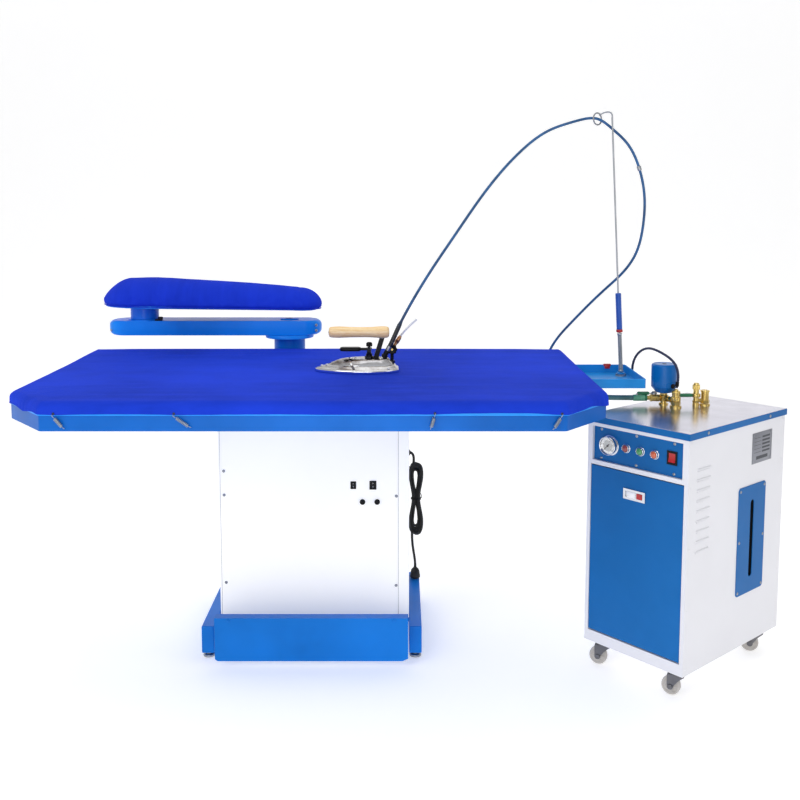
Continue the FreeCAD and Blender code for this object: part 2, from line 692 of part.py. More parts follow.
# ------------------------------------------------------------ steam generator
# Generator frame: x to the right along its front, y to its back, and
# x = y = 0 at the middle of the cabinet.
GEN_AT, GEN_TURN = Vector(1029, -17, 0), -48.7
GEN_W, GEN_D = 315, 480
SIDE, BACK, FRONT = GEN_W / 2, GEN_D / 2, -GEN_D / 2
GEN_Z0, GEN_Z1, GEN_TOP = 75, 694, 712
GEN_FLOOR = GEN_Z0 + SHEET

# casters: name, x, y, swivel angle
CASTERS = (("fl", -118, -198, 205), ("fr", 118, -198, 200),
           ("rl", -118, 198, 150), ("rr", 118, 198, 215))
HINGE_Y, HINGE_Z, HINGE_R = FRONT + 7, 116, 3
LATCH_X, LATCH_Z = -2, 519
LATCH_PIN_X, LATCH_PIN_Y, LATCH_PIN_R = LATCH_X - 24.5, FRONT + 1, 1.6
RECESS_X0, RECESS_X1, RECESS_Z0, RECESS_Z1 = -142, 140, 590, 684
CONTROL_Y = FRONT + 8                # front face of the control panel
GAUGE_X, GAUGE_Z = -89, 637
LAMP_XS, LAMP_Z, LAMP_R = (-37, 8, 52), 638, 8
ROCKER_X, ROCKER_Z = 104, 639
ROCKER_HALF_W, ROCKER_HALF_H = 11, 14         # of the hole for its housing
SIGHT_Y = 74


def gen(shape):
    """Generator frame to station frame."""
    return moved(turn(shape, (0, 0, 0), Z, GEN_TURN), GEN_AT)


@part
def gen_cabinet():
    body = box(-SIDE, SIDE, FRONT, BACK, GEN_Z0, GEN_Z1)
    body = cut(body,
               box(-SIDE + SHEET, SIDE - SHEET, FRONT + 12, BACK - SHEET,
                   GEN_FLOOR, GEN_Z1 + 5),
               box(-146, 146, FRONT - 2, FRONT + 15, 106, 578),          # door opening
               box(RECESS_X0, RECESS_X1, FRONT - 2, FRONT + 10, RECESS_Z0, RECESS_Z1),
               box(RECESS_X0 + 7, RECESS_X1 - 7, FRONT - 2, FRONT + 15,
                   RECESS_Z0 + 7, RECESS_Z1 - 7),
               box(SIDE - 5, SIDE + 5, 60, 90, 262, 486))                # behind the sight
    # pressed louvres on the right side
    hoods, slots = [], []
    for i in range(9):
        z = 395 + i * 27
        hood = cyl(SIDE - 2, -200, z, 5, 60, Y)
        hoods.append(hood.common(box(SIDE, SIDE + 10, -201, -139, z - 1, z + 6)))
        slots.append(box(SIDE - 4, SIDE + 1.6, -198, -142, z - 3, z))
    body = fuse(body.cut(Part.makeCompound(slots)), *hoods)
    plates = [box(x - 28, x + 28, y - 28, y + 28, 71, GEN_Z0 + 0.5)
              for name, x, y, angle in CASTERS]
    pins = [rod((side * 146.5, HINGE_Y, HINGE_Z), (side * 140.5, HINGE_Y, HINGE_Z), HINGE_R)
            for side in (-1, 1)]
    return gen(fuse(body, *(plates + pins)))


@part
def gen_lid():
    lid = box(-SIDE - 4, SIDE + 4, FRONT - 4, BACK + 4, GEN_Z1, GEN_TOP)
    lid = lid.makeFillet(2, [e for e in level_edges(lid) if e.BoundBox.ZMin > GEN_TOP - 1])
    return gen(cut(lid, box(-SIDE + 2, SIDE - 2, FRONT + 2, BACK - 2,
                            GEN_Z1 - 1, GEN_TOP - 2)))


@part
def gen_door():
    half_w, z0, z1 = 144.5, 110, 575
    door = cut(box(-half_w, half_w, FRONT + 1, FRONT + 15, z0, z1),
               box(-half_w + 2, half_w - 2, FRONT + 3, FRONT + 16, z0 + 2, z1 - 2),
               facing_box(LATCH_X, LATCH_Z, 29, 9, FRONT - 1, FRONT + 5))
    for side in (-1, 1):
        door = cut(door, rod((side * 150, HINGE_Y, HINGE_Z), (side * 130, HINGE_Y, HINGE_Z),
                             HINGE_R + GAP))
    return gen(door)


@part
def gen_latch_frame():
    z0, z1 = LATCH_Z - 8, LATCH_Z + 8
    frame = fuse(facing_box(LATCH_X, LATCH_Z, 34, 14, FRONT - 3, FRONT + 1),
                 facing_box(LATCH_X, LATCH_Z, 28.8, 8.8, FRONT - 1, FRONT + 14))
    frame = cut(frame, box(LATCH_X - 27, LATCH_X + 5, FRONT - 6, FRONT + 8, z0, z1),
                box(LATCH_X + 8, LATCH_X + 26, FRONT - 6, FRONT + 10, z0, z1))
    return gen(fuse(frame, cyl(LATCH_PIN_X, LATCH_PIN_Y, LATCH_Z - 8.5, LATCH_PIN_R, 17)))


@part
def gen_latch():
    # plan of the paddle from its pin: x, y
    plan = [(-1.9, 2), (28.9, 2), (28.9, -5.5), (4.5, -5.5), (-2, 0)]
    paddle = prism([(LATCH_PIN_X + x, LATCH_PIN_Y + y) for x, y in plan],
                   LATCH_Z - 7.6, LATCH_Z + 7.6)
    paddle = fuse(paddle, cyl(LATCH_PIN_X, LATCH_PIN_Y, LATCH_Z - 7.6, 2.3, 15.2))
    paddle = fuse(paddle, dome(LATCH_X - 11, FRONT - 4.5, LATCH_Z, 6, 0.8, TO_FRONT))
    return gen(cut(paddle, cyl(LATCH_PIN_X, LATCH_PIN_Y, LATCH_Z - 9,
                               LATCH_PIN_R + GAP, 18)))


@part
def latch_button():
    return gen(facing_box(LATCH_X + 17, LATCH_Z, 8.6, 7.6, FRONT - 5, FRONT + 5))


@part
def gen_control_panel():
    panel = box(RECESS_X0 + 0.5, RECESS_X1 - 0.5, CONTROL_Y, CONTROL_Y + 2,
                RECESS_Z0 + 0.5, RECESS_Z1 - 0.5)
    panel = cut(panel, cyl(GAUGE_X, CONTROL_Y - 5, GAUGE_Z, 16, 20, Y),
                facing_box(ROCKER_X, ROCKER_Z, ROCKER_HALF_W, ROCKER_HALF_H,
                           CONTROL_Y - 5, CONTROL_Y + 7))
    for x in LAMP_XS:
        panel = cut(panel, cyl(x, CONTROL_Y - 5, LAMP_Z, LAMP_R + 0.1, 20, Y))
    housing = bezel(ROCKER_X, ROCKER_Z, ROCKER_HALF_W, ROCKER_HALF_H, 4, CONTROL_Y,
                    flange=2.5, depth=18, wall=1, floor=2)
    return gen(group(panel, housing))


@part
def gen_rocker():
    return gen(rocker(ROCKER_X, ROCKER_Z, 9.6, 11.8, CONTROL_Y + 2, 3.4))


def gauge_cyl(y, radius, length):
    return cyl(GAUGE_X, CONTROL_Y + y, GAUGE_Z, radius, length, Y)


@part
def gauge_body():
    body = cut(fuse(gauge_cyl(-16, 25.5, 16), gauge_cyl(-2, 15.9, 28)),
               gauge_cyl(-20, 22.5, 9))
    return gen(fuse(body, gauge_cyl(-13.5, 1.2, 4)))


@part
def gauge_needle():
    def blade(root_half, tip_half, length):
        outline = [(-root_half, 0), (root_half, 0), (tip_half, length), (-tip_half, length)]
        return prism_xz([(GAUGE_X + x, GAUGE_Z + z) for x, z in outline],
                        CONTROL_Y - 13.2, CONTROL_Y - 12.4)

    needle = fuse(gauge_cyl(-13.2, 3, 1.2), blade(1, 0.35, 18.5), blade(1.2, 1.5, -6.5))
    needle = cut(needle, gauge_cyl(-15, 1.25, 5))
    return gen(turn(needle, (GAUGE_X, 0, GAUGE_Z), Y, -135))


@part
def indicator_lamps():
    return gen(group(*[fuse(cyl(x, CONTROL_Y - 4, LAMP_Z, 12.5, 4, Y),
                            cyl(x, CONTROL_Y - 1, LAMP_Z, LAMP_R, 24, Y),
                            cyl(x, CONTROL_Y - 7, LAMP_Z, 9.5, 4, Y),
                            dome(x, CONTROL_Y - 6.9, LAMP_Z, 9.3, 5, TO_FRONT))
                       for x in LAMP_XS]))


@part
def sight_plate():
    plate = box(SIDE, SIDE + 2, SIGHT_Y - 70, SIGHT_Y + 70, 222, 524)
    plate = plate.makeFillet(10, [e for e in plate.Edges
                                  if abs(e.tangentAt(e.FirstParameter).x) > 0.999])
    slot = fuse(box(SIDE - 5, SIDE + 5, 66, 84, 275, 473),
                cyl(SIDE - 5, 75, 275, 9, 10, X), cyl(SIDE - 5, 75, 473, 9, 10, X))
    return gen(cut(plate, slot))


@part
def boiler_tank():
    x, y, bottom = 10, 100, 150
    tank = cut(fuse(cyl(x, y, bottom, 96, 400), cone(x, y, bottom + 400, 96, 50, 26)),
               cyl(x, y, bottom + 3, 93, 394))
    legs = [box(x + dx - 5, x + dx + 5, y + dy - 5, y + dy + 5, GEN_FLOOR, bottom + 1)
            for dx in (-58, 58) for dy in (-58, 58)]
    # heater: three square-topped loops on a flange
    heater = [cyl(x, y, bottom + 3, 40, 6)]
    for dx in (-24, 0, 24):
        heater.append(cyl(x + dx, y - 12, 158, 4, 200))
        heater.append(cyl(x + dx, y + 12, 158, 4, 200))
        heater.append(box(x + dx - 4, x + dx + 4, y - 16, y + 16, 354, 362))
    return gen(group(fuse(tank, *legs), fuse(*heater)))


@part
def feed_pump():
    return gen(fuse(cyl(-100, -150, 130, 42, 120, Y), cyl(-100, -30, 130, 26, 40, Y),
                    box(-130, -70, -140, -50, GEN_FLOOR, 110), cyl(-100, -12, 150, 8, 60)))


# -------------------------------- brass pipework on the lid, in station axes
CAN_X, CAN_Y = 985, 80               # post under the solenoid
POST_X, POST_Y = 1008, 36            # post in front of it
PORT_Z = 731                         # axis of the level pipes
LEVER_1_X, LEVER_1_STEM_R = 957, 4
LEVER_2_X, LEVER_2_Y, LEVER_2_STEM_R = 1075, 70, 8
OPEN_X = 1100.5                      # open-topped post beside lever 2


def port_rod(x0, x1, radius):
    return rod((x0, CAN_Y, PORT_Z), (x1, CAN_Y, PORT_Z), radius)


@part
def steam_fittings():
    outlet = fuse(cyl(POST_X, POST_Y, GEN_TOP, 16, 5), cyl(POST_X, POST_Y, GEN_TOP, 11, 52),
                  cyl(POST_X, POST_Y, 719, 13, 24), cyl(POST_X, POST_Y, 752, 12, 6),
                  rod((POST_X, POST_Y, PORT_Z), (CAN_X, CAN_Y, PORT_Z), 6.5),
                  cyl(CAN_X, CAN_Y, GEN_TOP, 13, 4), cyl(CAN_X, CAN_Y, GEN_TOP, 9, 36),
                  cyl(CAN_X, CAN_Y, 722, 12.5, 18),
                  port_rod(CAN_X, 936, 6.5), port_rod(LEVER_1_X + 11, LEVER_1_X - 11, 10),
                  port_rod(937, 923, 6.8),
                  cyl(LEVER_1_X, CAN_Y, PORT_Z, LEVER_1_STEM_R, 14.5))
    spare = fuse(cyl(LEVER_2_X, LEVER_2_Y, GEN_TOP, 9.6, 5),
                 cyl(LEVER_2_X, LEVER_2_Y, GEN_TOP, LEVER_2_STEM_R, 64),
                 cyl(LEVER_2_X, LEVER_2_Y, 757, 10, 14),
                 cyl(OPEN_X, LEVER_2_Y, GEN_TOP, 14.5, 4),
                 cyl(OPEN_X, LEVER_2_Y, GEN_TOP, 11, 43),
                 cyl(OPEN_X, LEVER_2_Y, 750, 13, 5),
                 rod((LEVER_2_X, LEVER_2_Y, 725.5), (OPEN_X, LEVER_2_Y, 725.5), 5.6))
    return group(outlet, cut(spare, cyl(OPEN_X, LEVER_2_Y, 735, 6.5, 30)))


@part
def valve_lever_1():
    lever = fuse(cyl(LEVER_1_X, CAN_Y, 741.5, 8.5, 5),
                 box(LEVER_1_X - 44, LEVER_1_X, CAN_Y - 4, CAN_Y + 4, 741.5, 746),
                 rod((LEVER_1_X - 48, CAN_Y, 744.2), (LEVER_1_X - 14, CAN_Y, 744.2), 5))
    return cut(lever, cyl(LEVER_1_X, CAN_Y, 735, LEVER_1_STEM_R + GAP, 20),
               port_rod(LEVER_1_X + 11.5, LEVER_1_X - 11.5, 10.2))


@part
def valve_lever_2():
    tip = (LEVER_2_X - 46, LEVER_2_Y, 740)
    lever = fuse(cyl(LEVER_2_X, LEVER_2_Y, 735, 12, 10),
                 rod((LEVER_2_X, LEVER_2_Y, 740), tip, 5.4),
                 Part.makeSphere(5.4, Vector(*tip)))
    return cut(lever, cyl(LEVER_2_X, LEVER_2_Y, 700, LEVER_2_STEM_R + GAP, 60))


@part
def solenoid_valve():
    can = fuse(cone(CAN_X, CAN_Y, 748, 23, 36, 16), cyl(CAN_X, CAN_Y, 764, 36, 66))
    return can.makeFillet(3, [e for e in can.Edges if e.BoundBox.ZMin > 829])


# ------------------------------------------------------------------- casters
# Caster frame: swivel axis at x = y = 0, wheel trailing towards +x.
WHEEL_R, TRAIL, AXLE_R = 25, 17, 4


def axle_rod(half_length, radius):
    return rod((TRAIL, -half_length, WHEEL_R), (TRAIL, half_length, WHEEL_R), radius)


def caster_fork():
    fork = fuse(cyl(0, 0, 60, 19, 10.9), box(-20, 26, -14.5, 14.5, 56, 60.5))
    cheek = [(-20, 58), (26, 58), (TRAIL + 9, 20), (TRAIL - 7, 18)]       # x, z
    for side in (-1, 1):
        fork = fuse(fork, prism_xz(cheek, side * 11.5, side * 14.5))
    return fuse(fork, axle_rod(16.5, AXLE_R))


def caster_wheel():
    wheel = axle_rod(10, WHEEL_R)
    wheel = wheel.makeFillet(5, [e for e in wheel.Edges
                                 if abs(e.BoundBox.YMin - e.BoundBox.YMax) < 1e-6])
    return cut(fuse(wheel, axle_rod(11.3, 9)), axle_rod(20, AXLE_R + GAP))


for name, x, y, angle in CASTERS:
    for kind, make in (("caster_fork_", caster_fork), ("caster_wheel_", caster_wheel)):
        PARTS[kind + name] = gen(moved(turn(make(), (0, 0, 0), Z, angle), Vector(x, y, 0)))


# -------------------------------------------------------------------- screws
# on the cabinet front panel: x, z
PANEL_SCREWS = ((-273, 527), (-273, 457), (-271.5, 199), (218.6, 454),
                (217.8, 190), (218.6, 690), (-273, 690))


@part
def panel_screws():
    front = [dome(x, PANEL_FRONT, z, 4.5, 2.2, TO_FRONT) for x, z in PANEL_SCREWS]
    control = [dome(x, CONTROL_Y, z, 4, 2, TO_FRONT)
               for x in (-118, -5, 110) for z in (597.5, 676.5)]
    sight = [dome(SIDE + 2, SIGHT_Y + dy, z, 4, 2, X)
             for dy in (-61.5, 61.5) for z in (232, 373, 514)]
    lid = [dome(SIDE + 4, y, 703, 4.2, 2.2, X) for y in (-160, 150)]
    return group(*front, gen(group(*control, *sight, *lid)))


# -------------------------------------------------------------------- output
os.makedirs("parts", exist_ok=True)
for name, shape in PARTS.items():
    moved(shape, SHIFT).exportStep("parts/%s.step" % name)
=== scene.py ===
"""Ironing table with a suction cabinet, sleeve board, steam iron and steam generator.

Row frame: metres, +Z up, +X right, the front faces -Y. Pieces are modelled in mm in the
table frame (origin on the floor under the table centre) or in the generator frame (origin
on the floor under the generator, its own front facing its local -Y), then moved to the row.
"""
import bpy
import bmesh
import json
from math import acos, atan2, cos, exp, hypot, pi, radians, sin, tan
import numpy as np
from mathutils import Matrix, Vector, noise

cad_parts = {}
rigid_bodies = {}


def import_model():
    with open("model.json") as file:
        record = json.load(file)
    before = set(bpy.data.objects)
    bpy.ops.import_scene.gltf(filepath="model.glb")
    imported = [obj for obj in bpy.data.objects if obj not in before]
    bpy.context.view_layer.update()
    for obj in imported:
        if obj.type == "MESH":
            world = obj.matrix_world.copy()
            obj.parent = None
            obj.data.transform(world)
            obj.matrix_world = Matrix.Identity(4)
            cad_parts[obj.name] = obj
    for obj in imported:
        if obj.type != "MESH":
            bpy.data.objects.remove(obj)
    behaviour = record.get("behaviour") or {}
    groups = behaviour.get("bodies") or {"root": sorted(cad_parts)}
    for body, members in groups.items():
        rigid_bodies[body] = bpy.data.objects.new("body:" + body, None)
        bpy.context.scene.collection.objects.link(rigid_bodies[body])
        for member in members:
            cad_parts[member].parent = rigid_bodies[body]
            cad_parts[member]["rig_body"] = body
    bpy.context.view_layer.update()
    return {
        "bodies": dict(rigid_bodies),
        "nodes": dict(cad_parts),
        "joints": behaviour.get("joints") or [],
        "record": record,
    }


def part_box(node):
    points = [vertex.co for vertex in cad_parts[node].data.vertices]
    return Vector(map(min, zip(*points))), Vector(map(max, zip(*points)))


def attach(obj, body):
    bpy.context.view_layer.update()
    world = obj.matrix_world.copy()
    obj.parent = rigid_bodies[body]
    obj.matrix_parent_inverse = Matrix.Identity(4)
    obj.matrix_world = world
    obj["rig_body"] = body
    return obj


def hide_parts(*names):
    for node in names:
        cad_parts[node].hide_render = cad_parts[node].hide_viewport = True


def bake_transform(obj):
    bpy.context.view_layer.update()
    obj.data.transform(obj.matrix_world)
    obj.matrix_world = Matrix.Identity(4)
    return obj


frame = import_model()
scene = bpy.context.scene
NODES = frame["nodes"]

# ------------------------------------------------------------------ frames
UP, FRONT, BACK, RIGHT, LEFT = (0, 0, 1), (0, -1, 0), (0, 1, 0), (1, 0, 0), (-1, 0, 0)


def centre_of(node):
    low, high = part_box(node)
    return (low.x + high.x) / 2, (low.y + high.y) / 2


def about(point, turn):
    """the rotation matrix `turn` taken about a point"""
    return Matrix.Translation(point) @ turn @ Matrix.Translation(-point)


TABLE_ORIGIN = Matrix.Translation(Vector((*centre_of("table_frame"), 0)))
gen_x, gen_y = centre_of("gen_lid")
door_axis = next(j["axis"] for j in frame["joints"] if j["name"] == "door_open")
GEN_ORIGIN = Matrix(((door_axis[0], -door_axis[1], 0, gen_x),
                     (door_axis[1], door_axis[0], 0, gen_y), (0, 0, 1, 0), (0, 0, 0, 1)))
MM = Matrix.Diagonal((0.001, 0.001, 0.001, 1))
TABLE = TABLE_ORIGIN @ MM
GEN = GEN_ORIGIN @ MM
# the cover's top surface, and the iron standing on it
COVER_TOP = 820.0
IRON_FOOT = Vector((109.0, 11.0, COVER_TOP))
IRON = TABLE @ Matrix.Translation(IRON_FOOT)


# ------------------------------------------------------------ small maths
def clamp01(value):
    return max(0.0, min(1.0, value))


def bell(*ratios):
    """Gaussian bump of distances given in widths"""
    return exp(-sum(ratio ** 2 for ratio in ratios))


def wander(x, y, z=0.0):
    return noise.noise(Vector((x, y, z)))


def basis(axis):
    """side, up and along vectors of a frame whose third axis is `axis`"""
    along = Vector(axis).normalized()
    side = (Vector(UP) if abs(along.z) < 0.9 else Vector(BACK)).cross(along)
    side.normalize()
    return side, along.cross(side), along


def placer(origin, axis):
    """function from local (x, y, height) to a point"""
    side, up, along = basis(axis)
    origin = Vector(origin)
    return lambda x, y, height: origin + along * height + side * x + up * y


def loop_points(centre, side, up, count):
    """closed ellipse with half axes `side` and `up`"""
    centre, side, up = Vector(centre), Vector(side), Vector(up)
    turns = [2 * pi * i / count for i in range(count)]
    return [centre + side * cos(turn) + up * sin(turn) for turn in turns]


def spline(points, count):
    """natural cubic spline through the points, sampled evenly along its length"""
    knots = np.array([list(p) for p in points], float)
    at = np.r_[0, np.cumsum(np.linalg.norm(np.diff(knots, axis=0), axis=1))]
    size = len(knots)
    system = np.zeros((size, size))
    target = np.zeros((size, knots.shape[1]))
    system[0, 0] = system[-1, -1] = 1
    gap = np.diff(at)
    for i in range(1, size - 1):
        system[i, i - 1:i + 2] = gap[i - 1], 2 * (gap[i - 1] + gap[i]), gap[i]
        target[i] = 6 * ((knots[i + 1] - knots[i]) / gap[i]
                         - (knots[i] - knots[i - 1]) / gap[i - 1])
    bend = np.linalg.solve(system, target)

    def evaluate(where):
        i = min(max(np.searchsorted(at, where) - 1, 0), size - 2)
        after, before = at[i + 1] - where, where - at[i]
        return ((bend[i] * after ** 3 + bend[i + 1] * before ** 3) / (6 * gap[i])
                + (knots[i] / gap[i] - bend[i] * gap[i] / 6) * after
                + (knots[i + 1] / gap[i] - bend[i + 1] * gap[i] / 6) * before)
    dense = np.array([evaluate(where) for where in np.linspace(0, at[-1], count * 6)])
    run = np.r_[0, np.cumsum(np.linalg.norm(np.diff(dense, axis=0), axis=1))]
    even = np.linspace(0, run[-1], count)
    return np.stack([np.interp(even, run, dense[:, k]) for k in range(knots.shape[1])], 1)


def spline_vectors(points, count):
    return [Vector(p) for p in spline(points, count)]


def helix(start, end, radius, turns, per_turn):
    place = placer(start, Vector(end) - Vector(start))
    length = (Vector(end) - Vector(start)).length
    points = []
    for i in range(turns * per_turn + 1):
        share = i / (turns * per_turn)
        turn = 2 * pi * turns * share
        points.append(place(radius * cos(turn), radius * sin(turn), length * share))
    return points


def resample_closed(points, step):
    """points about `step` apart round a closed outline, with their run lengths"""
    outline = np.array(points + [points[0]], float)
    run = np.r_[0, np.cumsum(np.linalg.norm(np.diff(outline, axis=0), axis=1))]
    even = np.linspace(0, run[-1], int(round(run[-1] / step)), endpoint=False)
    return np.stack([np.interp(even, run, outline[:, k]) for k in range(2)], 1), even


def fillet_outline(points, radius, seg):
    """round every corner of a closed 2-D outline"""
    rounded = []
    for i in range(len(points)):
        corner = np.array(points[i], float)
        before = np.array(points[i - 1], float) - corner
        after = np.array(points[(i + 1) % len(points)], float) - corner
        before, after = before / np.linalg.norm(before), after / np.linalg.norm(after)
        half = acos(float(np.clip(before @ after, -1, 1))) / 2
        middle = before + after
        centre = corner + middle / np.linalg.norm(middle) * (radius / sin(half))
        first = corner + before * (radius / tan(half)) - centre
        last = corner + after * (radius / tan(half)) - centre
        start = atan2(first[1], first[0])
        sweep = (atan2(last[1], last[0]) - start + pi) % (2 * pi) - pi
        for k in range(seg + 1):
            turn = start + sweep * k / seg
            rounded.append((centre[0] + radius * cos(turn), centre[1] + radius * sin(turn)))
    return rounded


def knurl(count, depth):
    """lathe wobble that cuts `count` grooves"""
    return lambda r, h, turn: r + depth * abs(sin(count * turn / 2.0)) - depth / 2


# ------------------------------------------------------------ mesh building
class Part:
    """A mesh put together from simple solids. `slot` is a material slot index."""

    def __init__(self):
        self.mesh = bmesh.new()

    def ring(self, points):
        return [self.mesh.verts.new(p) for p in points]

    def face(self, corners, slot=0):
        self.mesh.faces.new(corners).material_index = slot

    def wrap(self, low, high, slot=0, flip=False):
        """quads between two closed rings"""
        for i in range(len(low)):
            j = (i + 1) % len(low)
            if flip:
                self.face((low[i], high[i], high[j], low[j]), slot)
            else:
                self.face((low[i], low[j], high[j], high[i]), slot)

    def loft(self, rings, slot=0, flip=False):
        """capped skin over rings of points"""
        rings = [self.ring(points) for points in rings]
        for low, high in zip(rings[:-1], rings[1:]):
            self.wrap(low, high, slot, flip)
        step = 1 if flip else -1
        self.face(rings[0][::step], slot)
        self.face(rings[-1][::-step], slot)

    def lathe(self, profile, origin, axis=UP, seg=48, slot=0, wobble=None):
        """revolve (radius, height) pairs; a zero radius closes to a point"""
        place = placer(origin, axis)
        rings = []
        for radius, height in profile:
            if radius < 1e-6:
                rings.append(self.ring([place(0, 0, height)]))
                continue
            points = []
            for k in range(seg):
                turn = 2 * pi * k / seg
                reach = radius if wobble is None else wobble(radius, height, turn)
                points.append(place(reach * cos(turn), reach * sin(turn), height))
            rings.append(self.ring(points))
        for low, high in zip(rings[:-1], rings[1:]):
            if len(low) > 1 and len(high) > 1:
                self.wrap(low, high, slot)
                continue
            for k in range(seg):
                j = (k + 1) % seg
                if len(low) == 1:
                    self.face((low[0], high[j], high[k]), slot)
                else:
                    self.face((low[k], low[j], high[0]), slot)
        if len(rings[0]) > 1:
            self.face(rings[0][::-1], slot)
        if len(rings[-1]) > 1:
            self.face(rings[-1], slot)

    def tube(self, points, radius, seg=16, closed=False, slot=0):
        """sweep a circle along points; radius may be a function of the share of length"""
        points = [Vector(p) for p in points]
        count = len(points)
        run = [0.0]
        for here, there in zip(points[:-1], points[1:]):
            run.append(run[-1] + (there - here).length)
        tangents = []
        for i in range(count):
            if closed:
                tangent = points[(i + 1) % count] - points[i - 1]
            else:
                tangent = points[min(i + 1, count - 1)] - points[max(i - 1, 0)]
            tangents.append(tangent.normalized())
        side = basis(tangents[0])[0]
        rings = []
        for i in range(count):
            if i:
                axis = tangents[i - 1].cross(tangents[i])
                if axis.length > 1e-9:
                    bend = tangents[i - 1].angle(tangents[i])
                    side = (Matrix.Rotation(bend, 3, axis.normalized()) @ side).normalized()
            up = tangents[i].cross(side).normalized()
            reach = radius(run[i] / run[-1]) if callable(radius) else radius
            rings.append(self.ring(
                points[i] + side * (reach * cos(2 * pi * k / seg))
                + up * (reach * sin(2 * pi * k / seg)) for k in range(seg)))
        for low, high in zip(rings[:-1], rings[1:]):
            self.wrap(low, high, slot)
        if closed:
            # join the last ring to the first at the nearest vertex
            low, high = rings[-1], rings[0]
            shift = min(range(seg), key=lambda k: (low[0].co - high[k].co).length)
            self.wrap(low, high[shift:] + high[:shift], slot)
        else:
            self.face(rings[0][::-1], slot)
            self.face(rings[-1], slot)

    def box(self, x_span, y_span, z_span, bevel=0.0, slot=0):
        verts = bmesh.ops.create_cube(self.mesh, size=1.0)["verts"]
        for vert in verts:
            vert.co = Vector([span[0] if c < 0 else span[1]
                              for c, span in zip(vert.co, (x_span, y_span, z_span))])
        faces = list({face for vert in verts for face in vert.link_faces})
        if bevel > 0:
            edges = list({edge for vert in verts for edge in vert.link_edges})
            faces += bmesh.ops.bevel(self.mesh, geom=edges, offset=bevel, segments=2, profile=0.5,
                                     affect="EDGES", clamp_overlap=True)["faces"]
        for face in faces:
            if face.is_valid:
                face.material_index = slot

    def prism(self, outline, axis, start, end):
        """extrude a 2-D outline along the axis with this index"""
        def ring_at(height):
            points = []
            for pair in outline:
                point = list(pair)
                point.insert(axis, height)
                points.append(point)
            return self.ring(points)
        low, high = ring_at(start), ring_at(end)
        self.face(low[::-1])
        self.face(high)
        self.wrap(low, high)

    def nut(self, origin, flat, bottom, top, axis=UP, slot=0, chamfer=0.5):
        """hexagon with rounded-off corners; flat is half its width across flats"""
        place = placer(origin, axis)
        margin = 0.02 * abs(top - bottom)
        rows = []
        # inward is the direction from the end face towards the middle, 0 on the end itself
        for height, inward in ((bottom, 0), (bottom, 1), (top, -1), (top, 0)):
            points = []
            for k in range(48):
                turn = 2 * pi * k / 48
                corner = flat / cos((turn % (pi / 3)) - pi / 6)
                radius = corner if inward else flat * 0.97
                ease = (corner - flat) * chamfer + margin
                points.append(place(radius * cos(turn), radius * sin(turn),
                                    height + inward * ease))
            rows.append(self.ring(points))
        self.face(rows[0][::-1], slot)
        self.face(rows[-1], slot)
        for low, high in zip(rows[:-1], rows[1:]):
            self.wrap(low, high, slot)

    def screw(self, origin, axis, radius, height, turn, washer=0.0):
        """pan head with a cross recess, standing on a plane"""
        seg, steps = 32, 12
        if washer:
            self.lathe([(washer, 0.0), (washer, 0.55), (washer - 0.3, 0.8), (radius * 0.6, 0.8)],
                       origin, axis, seg)
            origin = Vector(origin) + Vector(axis).normalized() * 0.6
        place = placer(origin, axis)
        circle = [(cos(2 * pi * k / seg), sin(2 * pi * k / seg)) for k in range(seg)]
        rows = [self.ring(place(radius * x, radius * y, 0) for x, y in circle)]
        for i in range(steps):
            reach = radius * (1 - i / steps)
            share = reach / radius
            dome = height * (1 - share ** 3.2) * 0.86 + height * 0.14 * (share < 0.985)
            if i == 0:
                dome = height * 0.22
            half_width = 0.13 * radius + 0.10 * radius * (1 - share)

            def in_slot(along, across):
                return (clamp01((half_width - abs(across)) / (0.10 * radius))
                        * clamp01((0.62 * radius - abs(along)) / (0.15 * radius)))
            points = []
            for x, y in circle:
                x, y = reach * x, reach * y
                along, across = x * cos(turn) + y * sin(turn), -x * sin(turn) + y * cos(turn)
                depth = max(in_slot(along, across), in_slot(across, along))
                points.append(place(x, y, dome - depth * height * 0.55))
            rows.append(self.ring(points))
        centre = self.ring([place(0, 0, height - height * 0.55)])[0]
        self.face(rows[0][::-1])
        for low, high in zip(rows[:-1], rows[1:]):
            self.wrap(low, high)
        for k in range(seg):
            self.face((rows[-1][k], rows[-1][(k + 1) % seg], centre))

    def move_new(self, before, matrix):
        """move the vertices that aren't in the set `before`"""
        bmesh.ops.transform(self.mesh, matrix=matrix,
                            verts=[v for v in self.mesh.verts if v not in before])

    def finish(self, name, materials, body="station", frame=TABLE, sharp=35, replaces=None):
        """make the object; edges over `sharp` degrees stay sharp, None leaves flat shading"""
        mesh = self.mesh
        if frame is not None:
            mesh.transform(frame)
        bmesh.ops.recalc_face_normals(mesh, faces=mesh.faces)
        if sharp is not None:
            for face in mesh.faces:
                face.smooth = True
            for edge in mesh.edges:
                edge.smooth = not (len(edge.link_faces) == 2
                                   and edge.calc_face_angle(0) > radians(sharp))
        data = bpy.data.meshes.new(name)
        mesh.to_mesh(data)
        mesh.free()
        obj = bpy.data.objects.new(name, data)
        scene.collection.objects.link(obj)
        for item in materials if isinstance(materials, list) else [materials]:
            data.materials.append(item)
        if body:
            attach(obj, body)
        if replaces:
            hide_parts(replaces)
        return obj


def smooth_all(obj):
    for polygon in obj.data.polygons:
        polygon.use_smooth = True


